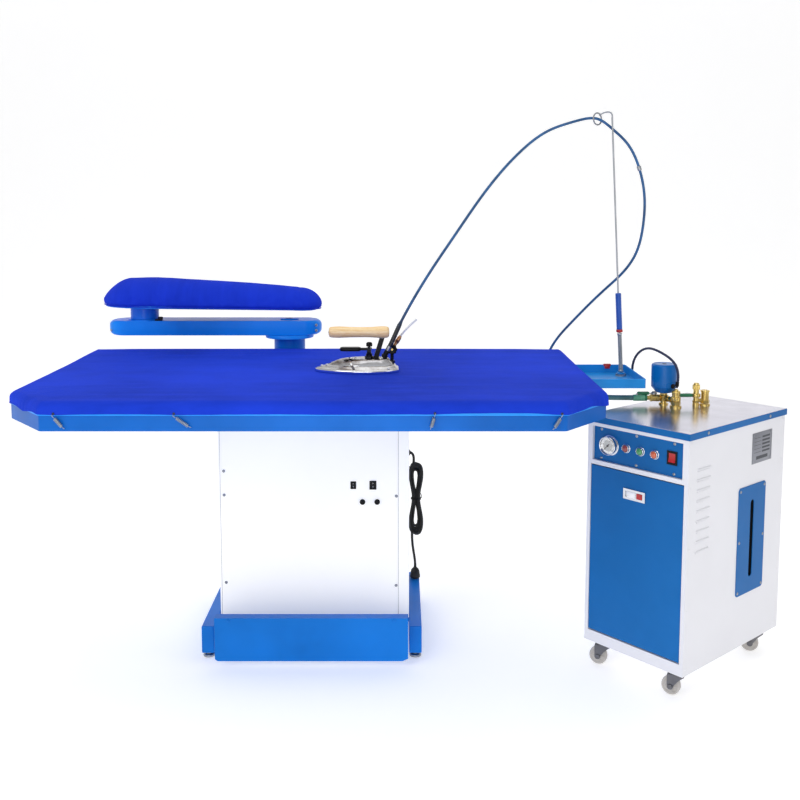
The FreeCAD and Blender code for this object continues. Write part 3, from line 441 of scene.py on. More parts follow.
def refine(node, materials, bevel=0.0008, seg=2, name=None, pick=None):
    """a cleaned copy of a CAD node with eased edges (metres), riding on the node's body

    pick(centre, normal) gives a face's material slot.
    """
    part = Part()
    mesh = part.mesh
    mesh.from_mesh(NODES[node].data)
    bmesh.ops.remove_doubles(mesh, verts=mesh.verts, dist=2e-6)
    bmesh.ops.dissolve_limit(mesh, angle_limit=radians(0.6), verts=mesh.verts, edges=mesh.edges)
    mesh.normal_update()
    for face in mesh.faces:
        face.material_index = pick(face.calc_center_median(), face.normal) if pick else 0
    obj = part.finish(name or node + "_v", materials, NODES[node]["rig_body"], None, 30, node)
    # flat plates keep one true normal, only curved walls are smoothed
    mesh = bmesh.new()
    mesh.from_mesh(obj.data)
    for face in mesh.faces:
        angles = [edge.calc_face_angle(3.2) for edge in face.edges]
        if all(angle > radians(30) or angle < 0.004 for angle in angles):
            face.smooth = False
    mesh.to_mesh(obj.data)
    mesh.free()
    if bevel:
        modifier = obj.modifiers.new("edge", "BEVEL")
        modifier.width = bevel
        modifier.segments = seg
        modifier.limit_method = "ANGLE"
        modifier.angle_limit = radians(32)
        modifier.use_clamp_overlap = True
        modifier.harden_normals = False


# ----------------------------------------------------------- material nodes
def srgb(*rgb):
    """0-255 sRGB to linear RGBA"""
    shares = [c / 255.0 for c in rgb]
    return (*(s / 12.92 if s <= 0.04045 else ((s + 0.055) / 1.055) ** 2.4 for s in shares), 1.0)


def shade(color, factor, lift=0.0):
    return tuple(min(1.0, c * factor + lift) for c in color[:3]) + (1,)


SURFACE_INPUTS = {
    "color": "Base Color", "rough": "Roughness", "metal": "Metallic", "normal": "Normal",
    "coat": "Coat Weight", "coat_rough": "Coat Roughness", "sheen": "Sheen Weight",
    "sheen_rough": "Sheen Roughness", "sheen_tint": "Sheen Tint", "spec": "Specular IOR Level",
    "emit": "Emission Color", "emit_strength": "Emission Strength"}


class Nodes:
    """Short calls that build the node tree of a material or world."""

    def __init__(self, owner, kind):
        owner.use_nodes = True
        self.owner, self.tree = owner, owner.node_tree
        self.tree.nodes.clear()
        self.output = self.node("Output" + kind).inputs[0]
        self.coords = self.node("TexCoord").outputs

    def feed(self, socket, value):
        if isinstance(value, bpy.types.NodeSocket):
            self.tree.links.new(value, socket)
        else:
            socket.default_value = value

    def node(self, kind, inputs=None, **settings):
        node = self.tree.nodes.new("ShaderNode" + kind)
        for key, value in settings.items():
            setattr(node, key, value)
        for key, value in (inputs or {}).items():
            self.feed(node.inputs[key], value)
        return node

    def noise(self, scale, detail=3.0, rough=0.5, vector=None, distortion=0.0, output=0):
        vector = self.coords["Object"] if vector is None else vector
        return self.node("TexNoise", {
            "Vector": vector, "Scale": scale, "Detail": detail, "Roughness": rough,
            "Distortion": distortion}).outputs[output]

    def stretch(self, scale):
        """object coordinates scaled per axis"""
        return self.node("Mapping", {"Vector": self.coords["Object"], "Scale": scale}).outputs[0]

    def split(self, vector):
        return self.node("SeparateXYZ", {0: vector}).outputs

    def ramp(self, factor, stops):
        node = self.node("ValToRGB", {"Fac": factor})
        elements = node.color_ramp.elements
        while len(elements) < len(stops):
            elements.new(0.5)
        for element, (position, color) in zip(elements, stops):
            element.position = position
            element.color = color
        return node.outputs["Color"]

    def remap(self, value, to, span=(0.0, 1.0)):
        """map the span of values onto the range `to`"""
        return self.node("MapRange", {
            "Value": value, "From Min": span[0], "From Max": span[1],
            "To Min": to[0], "To Max": to[1]}).outputs[0]

    def mix(self, factor, first, second):
        return self.node("Mix", {0: factor, 6: first, 7: second}, data_type="RGBA").outputs[2]

    def math(self, operation, first, second=None):
        inputs = {0: first} if second is None else {0: first, 1: second}
        return self.node("Math", inputs, operation=operation).outputs[0]

    def add(self, first, second):
        return self.math("ADD", first, second)

    def times(self, first, second):
        return self.math("MULTIPLY", first, second)

    def bump(self, height, strength, distance=0.0004, under=None):
        inputs = {"Strength": strength, "Distance": distance, "Height": height}
        if under is not None:
            inputs["Normal"] = under
        return self.node("Bump", inputs).outputs[0]

    def edge(self, radius):
        """0 on flats, 1 on convex or concave edges"""
        rounded = self.node("Bevel", {"Radius": radius}, samples=4).outputs[0]
        normal = self.node("NewGeometry").outputs["Normal"]
        dot = self.node("VectorMath", {0: rounded, 1: normal}, operation="DOT_PRODUCT")
        bent = self.math("SUBTRACT", 1.0, dot.outputs["Value"])
        return self.remap(bent, to=(0, 1), span=(0.02, 0.25))

    def surface(self, **values):
        """finish with a principled surface and return the material"""
        shader = self.node("BsdfPrincipled", {SURFACE_INPUTS[k]: v for k, v in values.items()})
        self.feed(self.output, shader.outputs[0])
        return self.owner


def material(name):
    return Nodes(bpy.data.materials.new(name), "Material")


# ------------------------------------------------------------ material kinds
def paint(name, rgb, rough, mottle, peel=0.12, wear=0.5, wear_rgb=None, coat=0.06, spec=0.32,
          glow=0.0):
    """mottled paint with orange peel and edges worn to wear_rgb; glow makes the paint emit its own
    colour as painted light
    """
    m = material(name)
    base = srgb(*rgb)
    drift = m.noise(scale=2.2, detail=4, rough=0.55)
    fleck = m.noise(scale=17.0, detail=3, rough=0.6)
    color = m.mix(m.remap(drift, to=(0, 1), span=(0.32, 0.7)),
                  shade(base, 1 - mottle * 2.6), shade(base, 1 + mottle * 3.0, 0.004))
    color = m.mix(m.remap(fleck, to=(0, 0.35), span=(0.45, 0.75)), color, base)
    rubbed = m.remap(m.noise(scale=60.0, detail=4, rough=0.7), to=(0, wear), span=(0.42, 0.72))
    worn = srgb(*wear_rgb) if wear_rgb else shade(base, 1.5, 0.05)
    color = m.mix(m.times(m.edge(radius=0.0014), rubbed), color, worn)
    height = m.add(m.times(m.noise(scale=520.0, detail=2, rough=0.5), 0.6),
                   m.times(m.noise(scale=95.0, detail=3, rough=0.6), 0.4))
    # painted light: with glow the paint emits its own colour though it is no lamp
    values = dict(emit=color, emit_strength=glow) if glow else {}
    return m.surface(color=color, rough=m.remap(fleck, to=(rough - 0.05, rough + 0.09)),
                     normal=m.bump(height, peel, 0.0006), coat=coat, coat_rough=0.18,
                     spec=spec, **values)


def metal(name, rgb, rough, brush, scale, strength=0.12, stain=0.06):
    """brushed metal; `brush` stretches the brush marks per axis"""
    m = material(name)
    base = srgb(*rgb)
    marks = m.noise(scale=scale, detail=6, rough=0.65, vector=m.stretch(brush))
    cloud = m.noise(scale=14.0, detail=4, rough=0.6)
    color = m.mix(m.remap(cloud, to=(0, 1), span=(0.35, 0.72)), shade(base, 1 - stain * 3), base)
    rough = m.add(m.remap(marks, to=(rough - 0.06, rough + 0.08)),
                  m.remap(cloud, to=(0.05, -0.03)))
    return m.surface(color=color, metal=1.0, rough=rough, normal=m.bump(marks, strength))


def iron_metal(name, rgb, reflection_rgb, rough):
    """polished casting whose upward faces carry a painted dark brown reflection"""
    m = material(name)
    normal = m.node("NewGeometry").outputs["Normal"]
    # painted reflection: faces turned upwards are tinted towards the dark brown colour
    upward = m.remap(m.split(normal)["Z"], to=(0, 1), span=(0.30, 0.80))
    marks = m.noise(scale=14.0, detail=6, rough=0.65, vector=m.stretch((6, 60, 6)))
    cloud = m.noise(scale=34.0, detail=4, rough=0.65)
    reflection_mask = m.times(upward, m.remap(cloud, to=(0.45, 1.0), span=(0.36, 0.62)))
    rough = m.add(m.remap(marks, to=(rough - 0.04, rough + 0.06)),
                  m.remap(reflection_mask, to=(0.0, 0.10)))
    return m.surface(color=m.mix(reflection_mask, srgb(*rgb), srgb(*reflection_rgb)), metal=1.0, rough=rough,
                     normal=m.bump(marks, strength=0.04))


def plastic(name, rgb, rough, grain=600.0, strength=0.15, mottle=0.04, spec=0.5, coat=0.0):
    m = material(name)
    base = srgb(*rgb)
    drift = m.noise(scale=30.0, detail=4, rough=0.6)
    color = m.mix(m.remap(drift, to=(0, 1), span=(0.3, 0.7)),
                  shade(base, 1 - mottle * 2), shade(base, 1 + mottle * 2, 0.002))
    pits = m.noise(scale=grain, detail=3, rough=0.6)
    return m.surface(color=color, rough=m.remap(drift, to=(rough - 0.05, rough + 0.07)),
                     normal=m.bump(pits, strength), spec=spec, coat=coat)


def cloth(name, rgb, thread, streak):
    """plain weave (thread pitch in metres) with a nap, colour drift and faint streaks"""
    m = material(name)
    base = srgb(*rgb)
    dark, light = shade(base, 0.66), shade(base, 1.24, 0.006)
    drift = m.noise(scale=22.0, detail=2, rough=0.5, output="Color")
    shift = m.node("VectorMath", {0: drift, "Scale": 0.0012}, operation="SCALE").outputs[0]
    warped = m.node("VectorMath", {0: m.coords["Object"], 1: shift}, operation="ADD").outputs[0]
    axes = m.split(warped)
    waves = [m.math("SINE", m.times(m.add(axes[i], m.times(axes[2], 0.7)), 2 * pi / thread))
             for i in (0, 1)]
    weave = m.remap(m.times(*waves), to=(0, 1), span=(-1, 1))
    nap = m.noise(scale=900.0, detail=2, rough=0.7)
    cloud = m.noise(scale=1.7, detail=4, rough=0.6)
    streaks = m.noise(scale=3.0, detail=5, rough=0.7, vector=m.stretch(streak))
    color = m.mix(m.remap(cloud, to=(0, 1), span=(0.3, 0.72)), dark, light)
    color = m.mix(m.remap(streaks, to=(0, 0.42), span=(0.42, 0.7)), color, light)
    color = m.mix(m.remap(weave, to=(0, 0.30)), color, dark)
    height = m.add(m.times(weave, 0.75), m.times(nap, 0.25))
    woven = m.bump(height, strength=0.5, distance=0.0005)
    soft = m.bump(m.noise(scale=34.0, detail=4, rough=0.6), strength=0.16, distance=0.004,
                  under=woven)
    return m.surface(color=color, rough=0.9, normal=soft, sheen=0.10, sheen_rough=0.5,
                     sheen_tint=light, spec=0.12)


def wood(name):
    """pale wood with its grain along X"""
    m = material(name)
    rings = m.noise(scale=26.0, detail=5, rough=0.6, vector=m.stretch((1.0, 9.0, 9.0)),
                    distortion=0.8)
    fine = m.noise(scale=60.0, detail=5, rough=0.7, vector=m.stretch((1.0, 26.0, 26.0)))
    pores = m.noise(scale=90.0, detail=2, rough=0.5, vector=m.stretch((1.0, 18.0, 18.0)))
    color = m.ramp(rings, [(0.28, srgb(234, 188, 124)), (0.5, srgb(248, 216, 160)),
                           (0.72, srgb(253, 230, 182))])
    color = m.mix(m.remap(fine, to=(0, 0.30), span=(0.45, 0.75)), color, srgb(214, 160, 98))
    color = m.mix(m.remap(pores, to=(0, 0.55), span=(0.66, 0.74)), color, srgb(160, 106, 58))
    return m.surface(color=color, rough=m.remap(fine, to=(0.28, 0.42)),
                     normal=m.bump(fine, strength=0.12), coat=0.45, coat_rough=0.16)


def hose_rubber(name, rgb, black_span=None):
    """hose cover, turning black as it falls through the heights of black_span (metres)"""
    m = material(name)
    base = srgb(*rgb)
    color = m.mix(m.remap(m.noise(scale=24.0, detail=3, rough=0.6), to=(0, 1), span=(0.35, 0.7)),
                  shade(base, 0.72), shade(base, 1.25, 0.01))
    if black_span:
        low = m.remap(m.split(m.coords["Object"])[2], to=(1.0, 0.0), span=black_span)
        color = m.mix(low, color, (0.008, 0.010, 0.014, 1))
    grain = m.noise(scale=700.0, detail=3, rough=0.7)
    return m.surface(color=color, rough=0.42, normal=m.bump(grain, strength=0.35), spec=0.5)


def lens(name, rgb, glow):
    m = material(name)
    base = srgb(*rgb)
    facing = m.node("LayerWeight", {"Blend": 0.35}).outputs["Facing"]
    ripple = m.noise(scale=400.0, detail=2, rough=0.5)
    # painted shading: the lens is coloured lighter where it faces the view and darker towards its
    # rim
    return m.surface(color=m.mix(facing, shade(base, 1.3, 0.03), shade(base, 0.35)),
                     rough=m.remap(ripple, to=(0.08, 0.16)), coat=0.8, coat_rough=0.05,
                     emit=base, emit_strength=glow, normal=m.bump(ripple, strength=0.06))


def clear_glass(name):
    m = material(name)
    clear = m.node("BsdfTransparent").outputs[0]
    glossy = m.node("BsdfGlossy", {"Roughness": 0.03}).outputs[0]
    ripple = m.bump(m.noise(scale=90.0, detail=2, rough=0.5), strength=0.02)
    fresnel = m.node("Fresnel", {"IOR": 1.45, "Normal": ripple}).outputs[0]
    m.feed(m.output, m.node("MixShader", {0: fresnel, 1: clear, 2: glossy}).outputs[0])
    return m.owner


def sight_water(name):
    """dark water below its level in the sight tube, paler above"""
    m = material(name)
    above = m.remap(m.split(m.coords["Object"])[2], to=(0, 1), span=(0.378, 0.380))
    ripple = m.noise(scale=60.0, detail=3, rough=0.6)
    return m.surface(color=m.mix(above, (0.035, 0.05, 0.06, 1), (0.10, 0.12, 0.13, 1)),
                     rough=m.remap(ripple, to=(0.05, 0.14)), coat=1.0, coat_rough=0.04,
                     spec=0.8, normal=m.bump(ripple, strength=0.04))


def floor_material(name):
    m = material(name)
    drift = m.remap(m.noise(scale=0.6, detail=3, rough=0.5), to=(0, 1))
    return m.surface(color=m.mix(drift, (0.92, 0.92, 0.92, 1), (0.95, 0.95, 0.95, 1)),
                     rough=0.8, spec=0.1, emit=(1, 1, 1, 1), emit_strength=0.36)


# ----------------------------------------------------------------- materials
FRAME_PAINT = paint("frame_azure_paint", (0, 98, 192), rough=0.30, mottle=0.10, wear=0.35,
                    wear_rgb=(120, 190, 250), spec=0.14)
BASE_PAINT = paint("base_azure_paint", (0, 116, 208), rough=0.33, mottle=0.07, wear=0.4,
                   wear_rgb=(130, 195, 250), spec=0.14)
# the cabinet white emits a little of its own colour: painted light brightening the cabinet
CABINET_WHITE_GLOWING = paint("cabinet_white_paint_painted_glow", (250, 249, 246), rough=0.42, mottle=0.010,
                      peel=0.08, wear=0.25, wear_rgb=(205, 208, 212), coat=0.03, glow=0.16)
GEN_WHITE = paint("generator_white_paint", (226, 226, 231), rough=0.36, mottle=0.012,
                  peel=0.10, wear=0.30, wear_rgb=(190, 193, 200), coat=0.15)
GEN_BLUE = paint("generator_blue_paint", (8, 98, 166), rough=0.36, mottle=0.05, wear=0.35,
                 wear_rgb=(120, 170, 215), coat=0.03, spec=0.14)
CANISTER_BLUE = paint("canister_blue_enamel", (0, 104, 184), rough=0.26, mottle=0.06, wear=0.2,
                      wear_rgb=(90, 170, 230), coat=0.08, spec=0.2)
COLLAR_PAINT = paint("collar_deep_blue_paint", (0, 108, 214), rough=0.22, mottle=0.10, wear=0.4,
                     wear_rgb=(120, 200, 250), coat=0.15, spec=0.16)
# grey for the panel gaps: painted shade inside the gap
GAP_SHADE_GREY = paint("panel_gap_painted_shade", (172, 174, 180), rough=0.7, mottle=0.06, spec=0.05)
TRAY_PAINT = paint("tray_light_azure_paint", (30, 150, 238), rough=0.34, mottle=0.12,
                   wear_rgb=(140, 210, 250), spec=0.2)
ARM_PAINT = paint("arm_azure_paint", (4, 128, 236), rough=0.30, mottle=0.10,
                  wear_rgb=(120, 200, 250), spec=0.14)
# lighter blue for the lip's upright faces: a painted highlight along the frame's rounded top edge
LIP_HIGHLIGHT_PAINT = paint("lip_azure_painted_highlight", (6, 150, 250), rough=0.32, mottle=0.05,
                  wear_rgb=(140, 210, 250))

LID_STEEL = metal("lid_stainless", (214, 212, 224), rough=0.20, brush=(1, 40, 1), scale=9.0,
                  strength=0.05, stain=0.03)
STEEL = metal("zinc_steel", (172, 176, 182), rough=0.34, brush=(30, 30, 30), scale=10, stain=0.08)
VALVE_STEEL = metal("blackened_valve_steel", (44, 46, 50), rough=0.24, brush=(30, 30, 30),
                    scale=14, stain=0.12)
# polished iron metal with a painted brown reflection on its upper faces
SOLE_METAL = iron_metal("iron_sole_polish_painted_reflection", (232, 234, 236), reflection_rgb=(176, 172, 170), rough=0.16)
IRON_COVER_METAL = iron_metal("iron_cover_polish_painted_reflection", (226, 228, 232), reflection_rgb=(112, 98, 90),
                              rough=0.14)
SPRING_STEEL = metal("spring_steel", (186, 192, 198), rough=0.28, brush=(80, 80, 80), scale=12,
                     stain=0.08)
CHROME = metal("polished_chrome", (222, 224, 228), rough=0.10, brush=(6, 60, 6), scale=10,
               strength=0.03, stain=0.05)
BRASS = metal("machined_brass", (226, 198, 120), rough=0.22, brush=(60, 60, 2), scale=12,
              strength=0.08)
COPPER = metal("copper_fitting", (222, 158, 112), rough=0.30, brush=(40, 40, 4), scale=10,
               strength=0.10, stain=0.12)
CASTER_ZINC = metal("caster_zinc", (122, 122, 126), rough=0.30, brush=(20, 20, 20), scale=10,
                    stain=0.10)
PLATE_RULING = metal("data_plate_ruling", (92, 94, 100), rough=0.45, brush=(1, 40, 1), scale=8,
                     strength=0.08)
PLATE_METAL = metal("blank_data_plate", (150, 152, 160), rough=0.36, brush=(1, 40, 1), scale=8,
                    strength=0.08)

BLACK_PLASTIC = plastic("black_satin_plastic", (12, 12, 14), rough=0.46, strength=0.2, spec=0.22)
PHENOLIC = plastic("black_phenolic", (8, 8, 10), rough=0.34, grain=220, strength=0.06, spec=0.16,
                   coat=0.03)
RUBBER = plastic("black_rubber", (14, 14, 15), rough=0.62, grain=900, strength=0.35)
NAVY_SHEATH = plastic("navy_cable_sheath", (18, 28, 66), rough=0.38, grain=700)
NYLON = plastic("offwhite_nylon", (184, 180, 176), rough=0.5, grain=260, strength=0.12,
                mottle=0.05)
WHITE_PLASTIC = plastic("white_latch_plastic", (238, 238, 240), rough=0.35, grain=300,
                        strength=0.06, mottle=0.01)
RED_PLASTIC = plastic("red_plastic", (176, 16, 16), rough=0.30, grain=300, strength=0.06,
                      coat=0.3)
GREEN_GRIP = plastic("green_grip", (24, 116, 76), rough=0.36, grain=240, strength=0.14, coat=0.2)
PALE_GREEN = plastic("pale_green_sleeve", (104, 176, 138), rough=0.4, grain=240, strength=0.14)
POLE_BLUE = plastic("pole_blue_sleeve", (28, 84, 176), rough=0.4, grain=260, strength=0.2)
# black used as painted shade inside the sight glass recess and behind the louvres
SHADE_BLACK = plastic("dark_interior_painted_shade", (10, 10, 12), rough=0.7, grain=200, strength=0.1)
FOAM = plastic("open_cell_foam", (224, 214, 184), rough=0.9, grain=180, strength=0.8,
               mottle=0.06)
MILKY_TUBE = plastic("milky_tube", (228, 230, 232), rough=0.22, grain=260, strength=0.1,
                     mottle=0.05, coat=0.4)
DIAL_WHITE = plastic("dial_white_enamel", (240, 240, 236), rough=0.4, grain=300, strength=0.04,
                     mottle=0.01)

COVER_CLOTH = cloth("blue_cover_cloth", (22, 62, 214), thread=0.0011, streak=(1, 7, 1))
SLEEVE_CLOTH = cloth("blue_sleeve_cloth", (20, 56, 210), thread=0.0010, streak=(6, 1, 1))
BEECH = wood("turned_beech")
HOSE_BLUE = hose_rubber("steam_hose_rubber", (22, 84, 136))
HOSE_LOW = hose_rubber("steam_hose_rubber_lower", (22, 84, 136), black_span=(0.935, 1.0))
LAGGING = hose_rubber("lagged_hose", (78, 122, 118))
LENSES = [lens("lens_red", (118, 18, 20), glow=0.05), lens("lens_green", (22, 118, 58), glow=0.08),
          lens("lens_amber", (176, 70, 18), glow=0.05)]
GAUGE_GLASS = clear_glass("gauge_glass")
SIGHT_WATER = sight_water("sight_glass_water")

# ------------------------------------------------------------- table cover
# half length and half depth of the table, and the cut of its two front corners
HALF_X, HALF_Y = 750.0, 425.0
CUT_X, CUT_Y = 125.0, 150.0
COVER_EDGE_RADIUS = 22.0
COVER_OFFSET = 2.3        # the cover's wall outside the table outline
COVER_SINK = 0.55         # the cloth's lowest drop below the nominal top
HEM_HEIGHTS = (796.0, 794.2, 793.2, 792.4, 791.6, 790.7, 789.8)
# shares of the way out from the centre
COVER_RINGS = (0.06, 0.14, 0.23, 0.33, 0.43, 0.53, 0.63, 0.72, 0.80, 0.86, 0.905, 0.935, 0.955,
               0.968, 0.978, 0.986, 0.993)
# hem turned under: (offset from the table outline, rise from the hem line)
HEM_TURN = ((2.1, -0.75), (1.2, -0.85), (0.75, 0.4), (0.6, 6.0))
# inner face: (offset from the table outline, height)
COVER_LINING = ((0.3, 803.0), (-1.2, 808.5), (-6.0, 813.6), (-12.0, 817.2), (-20.0, 818.5))
LINING_TOP = 818.6
# soft pull lines from the front edge: x, y, direction (radians), height, width, length
PULL_LINES = (
    (-668, -330, 0.9, 0.9, 7, 150), (-700, -268, 0.55, 0.8, 6, 120),
    (-600, -372, 1.25, 0.7, 6, 110), (676, -322, 2.3, 0.8, 7, 130),
    (612, -366, 1.9, 0.7, 6, 120), (-300, -392, 1.45, 0.5, 8, 90),
    (120, -394, 1.65, 0.5, 8, 90), (400, -392, 1.55, 0.45, 8, 80))


def hem_pucker(run):
    """short vertical puckers from the hem elastic"""
    return 0.55 * sin(run * 2 * pi / 19.0 + 3 * wander(run * 0.006, 2.0)) \
        + 0.9 * wander(run * 0.028, 7.0)


def hem_rise(run, x, y):
    """height of the hem over its nominal line"""
    front = clamp01((-y - 330.0) / 80.0)
    rise = 1.7 * wander(run * 0.0042, 3.3) + 0.9 * wander(run * 0.017, 9.1)
    # riding up between the spring hooks, drawn down beside them
    rise += 3.6 * max(0.0, sin(pi * clamp01((x - 318.0) / 272.0))) ** 0.7 * front
    rise += 1.8 * max(0.0, sin(pi * clamp01((x + 575.0) / 262.0))) ** 0.8 * front
    rise -= 1.6 * bell((x - 640.0) / 26.0) * front
    # the cut corners bag out and hang lower
    rise -= 6.5 * bell((x + 690.0) / 30.0, (y + 360.0) / 40.0)
    rise += 2.6 * bell((x + 650.0) / 16.0, (y + 410.0) / 26.0)
    rise -= 9.0 * bell((x - 748.0) / 34.0, (y + 262.0) / 52.0)
    rise += 3.0 * bell((x - 700.0) / 22.0, (y + 350.0) / 28.0)
    return rise


def corner_bag(x, y):
    """gathered cloth standing off the cut corners in short upright folds"""
    left = bell((x + 690.0) / 44.0, (y + 352.0) / 60.0)
    right = bell((x - 735.0) / 40.0, (y + 285.0) / 60.0)
    return (left * (1.1 + 1.5 * sin((x * 0.72 - y * 0.69) * 2 * pi / 23.0))
            + right * (1.2 + 1.6 * sin((x + y) * 2 * pi / 31.0 + 0.8)))


def cover_swell(x, y):
    """height of the top surface over its nominal level"""
    swell = 0.75 * wander(x * 0.0030, y * 0.0042) + 0.35 * wander(x * 0.011, y * 0.013, 4.0)
    # the padding stands fuller along the back
    share = clamp01((y - 90.0) / 290.0)
    swell += 6.5 * share * share * (3 - 2 * share) * (1.0 - 0.35 * min(1.0, abs(x) / 760.0) ** 4)
    for start_x, start_y, turn, height, width, length in PULL_LINES:
        dx, dy = x - start_x, y - start_y
        along = dx * cos(turn) + dy * sin(turn)
        across = -dx * sin(turn) + dy * cos(turn)
        if -30 < along < length:
            fade = sin(pi * clamp01((along + 30) / (length + 30)))
            swell += height * fade * bell(across / width)
    return swell - COVER_SINK


def table_cover():
    corners = [(HALF_X, HALF_Y), (-HALF_X, HALF_Y), (-HALF_X, -HALF_Y + CUT_Y),
               (-HALF_X + CUT_X, -HALF_Y), (HALF_X - CUT_X, -HALF_Y), (HALF_X, -HALF_Y + CUT_Y)]
    outline, runs = resample_closed(fillet_outline(corners, 15.0, 10), 5.0)
    tangent = np.roll(outline, -1, 0) - np.roll(outline, 1, 0)
    tangent /= np.linalg.norm(tangent, axis=1)[:, None]
    outward = np.stack([tangent[:, 1], -tangent[:, 0]], 1)
    count = len(outline)
    # edge profile from the top to the hem: (offset, height)
    arc_steps = 10
    arc = [pi / 2 * (1 - k / arc_steps) for k in range(arc_steps + 1)]
    profile = [(COVER_OFFSET - COVER_EDGE_RADIUS + COVER_EDGE_RADIUS * cos(turn),
                COVER_TOP - COVER_EDGE_RADIUS + COVER_EDGE_RADIUS * sin(turn)) for turn in arc]
    profile += [(COVER_OFFSET, z) for z in HEM_HEIGHTS]
    last = len(profile) - 1

    rows = []
    top_edge = outline + outward * profile[0][0]
    for share in COVER_RINGS:
        rows.append([(x, y, COVER_TOP + cover_swell(x, y)) for x, y in top_edge * share])
    for j, (base_offset, level) in enumerate(profile):
        down = j / last
        row = []
        for i in range(count):
            x, y = outline[i]
            offset = base_offset + hem_pucker(runs[i]) * max(0.0, (down - 0.35) / 0.65) * 0.55
            offset += corner_bag(x, y) * max(0.0, down - 0.2)
            offset -= 3.2 * clamp01((-x - 690.0) / 60.0) * min(1.0, down * 2.2)
            ripple = 0.9 * wander(x * 0.012, y * 0.012, 6.0)
            if j <= arc_steps:
                top_share = 1 - j / arc_steps
                height = level + cover_swell(*(outline[i] + outward[i] * offset)) * top_share
                offset += ripple * (1 - top_share)
            else:
                hem_share = (j - arc_steps) / (last - arc_steps)
                height = level + hem_rise(runs[i], x, y) * hem_share
                offset += ripple
                if j > arc_steps + 1:
                    # the elastic channel stands out between two drawn-in lines
                    offset += 0.45 if 13 <= j <= 16 else -0.15
            point = outline[i] + outward[i] * min(offset, 4.4)
            row.append((point[0], point[1], height))
        rows.append(row)
    hem = rows[-1]
    for offset, rise in HEM_TURN:
        points = outline + outward * offset
        rows.append([(x, y, hem[i][2] + rise) for i, (x, y) in enumerate(points)])
    for offset, z in COVER_LINING:
        rows.append([(x, y, z) for x, y in outline + outward * offset])
    rows.append([(x, y, LINING_TOP) for x, y in outline * 0.5])

    part = Part()
    top = part.ring([(0, 0, COVER_TOP + cover_swell(0, 0))])[0]
    rings = [part.ring(row) for row in rows]
    under = part.ring([(0, 0, LINING_TOP)])[0]
    for i in range(count):
        j = (i + 1) % count
        part.face((rings[0][i], rings[0][j], top))
        part.face((rings[-1][j], rings[-1][i], under))
    for upper, lower in zip(rings[:-1], rings[1:]):
        part.wrap(upper, lower, flip=True)
    smooth_all(part.finish("table_cover_cloth", COVER_CLOTH, sharp=None, replaces="table_cover"))


table_cover()


# ------------------------------------------------------------ cabinet panels
CABINET_FRONT = 38.4      # y of the face that the front screws and fuses stand on


def panel_gap():
    """grey strips set into the gap down both sides and along the foot of the front panel, painted
    shade for the gap
    """
    part = Part()
    for x_span, z_span in (((-284.6, -283.05), (101.0, 741.0)), ((223.45, 225.0), (101.0, 741.0)),
                           ((-284.6, 225.0), (99.4, 100.95))):
        part.box(x_span, (39.75, 40.4), z_span)
    part.finish("front_panel_gap_shade", GAP_SHADE_GREY)


def bracket_weld():
    """bead weld along the arm bracket"""
    start, end = Vector((-205, 430.6, 757.6)), Vector((-57, 430.6, 757.6))
    steps = max(6, int((end - start).length / 2.2))
    part = Part()
    part.tube([start.lerp(end, i / steps) for i in range(steps + 1)],
              lambda share: 1.7 * (1 + 0.22 * sin(share * steps * 2.2)), seg=8)
    part.finish("bracket_weld_beads", FRAME_PAINT, sharp=50)


# the lip's upright faces take the painted highlight in slot 1
refine("table_frame", [FRAME_PAINT, LIP_HIGHLIGHT_PAINT], bevel=0.0012,
       pick=lambda centre, normal: int(centre.z > 0.7855 and abs(normal.z) < 0.6))
refine("deck_grid", STEEL, bevel=0)
refine("cabinet_shell", CABINET_WHITE_GLOWING, bevel=0.0018, seg=3)
refine("cabinet_front_panel", CABINET_WHITE_GLOWING, bevel=0.0006)
panel_gap()
for node, finish, width, steps in (
        ("fan_housing", STEEL, 0, 2), ("fan_impeller", STEEL, 0, 2),
        ("base_frame", BASE_PAINT, 0.0030, 3), ("foot_pedal", BASE_PAINT, 0.0012, 3),
        ("arm_bracket", FRAME_PAINT, 0.0012, 2), ("sleeve_board_base", COLLAR_PAINT, 0.0012, 2),
        ("iron_tray", TRAY_PAINT, 0.0007, 2)):
    refine(node, finish, width, steps)
bracket_weld()


def panel_screws():
    """screws on the cabinet front, and on the generator's front, side plate and lid"""
    part = Part()
    cabinet = ((-273.0, 527.0), (-273.0, 457.0), (-271.5, 199.0), (218.6, 454.0),
               (217.8, 190.0), (218.6, 690.0), (-273.0, 690.0))
    for k, (x, z) in enumerate(cabinet):
        part.screw((x, CABINET_FRONT, z), FRONT, 4.5, 2.2, 0.4 + k * 0.9)
    part.mesh.transform(TABLE)
    on_cabinet = set(part.mesh.verts)
    # origin, axis, radius, height
    generator = [((x, -232.0, z), FRONT, 4.0, 2.0)
                 for x in (-118.0, -5.0, 110.0) for z in (597.5, 676.5)]
    generator += [((159.5, y, z), RIGHT, 4.0, 2.0)
                  for y in (12.5, 135.5) for z in (232.0, 373.0, 514.0)]
    generator += [((161.5, y, 703.0), RIGHT, 4.2, 2.2) for y in (-160.0, 150.0)]
    for k, screw in enumerate(generator, start=len(cabinet)):
        part.screw(*screw, 0.2 + k * 0.8)
    part.move_new(on_cabinet, GEN)
    part.finish("panel_screw_heads", STEEL, frame=None, sharp=40, replaces="panel_screws")


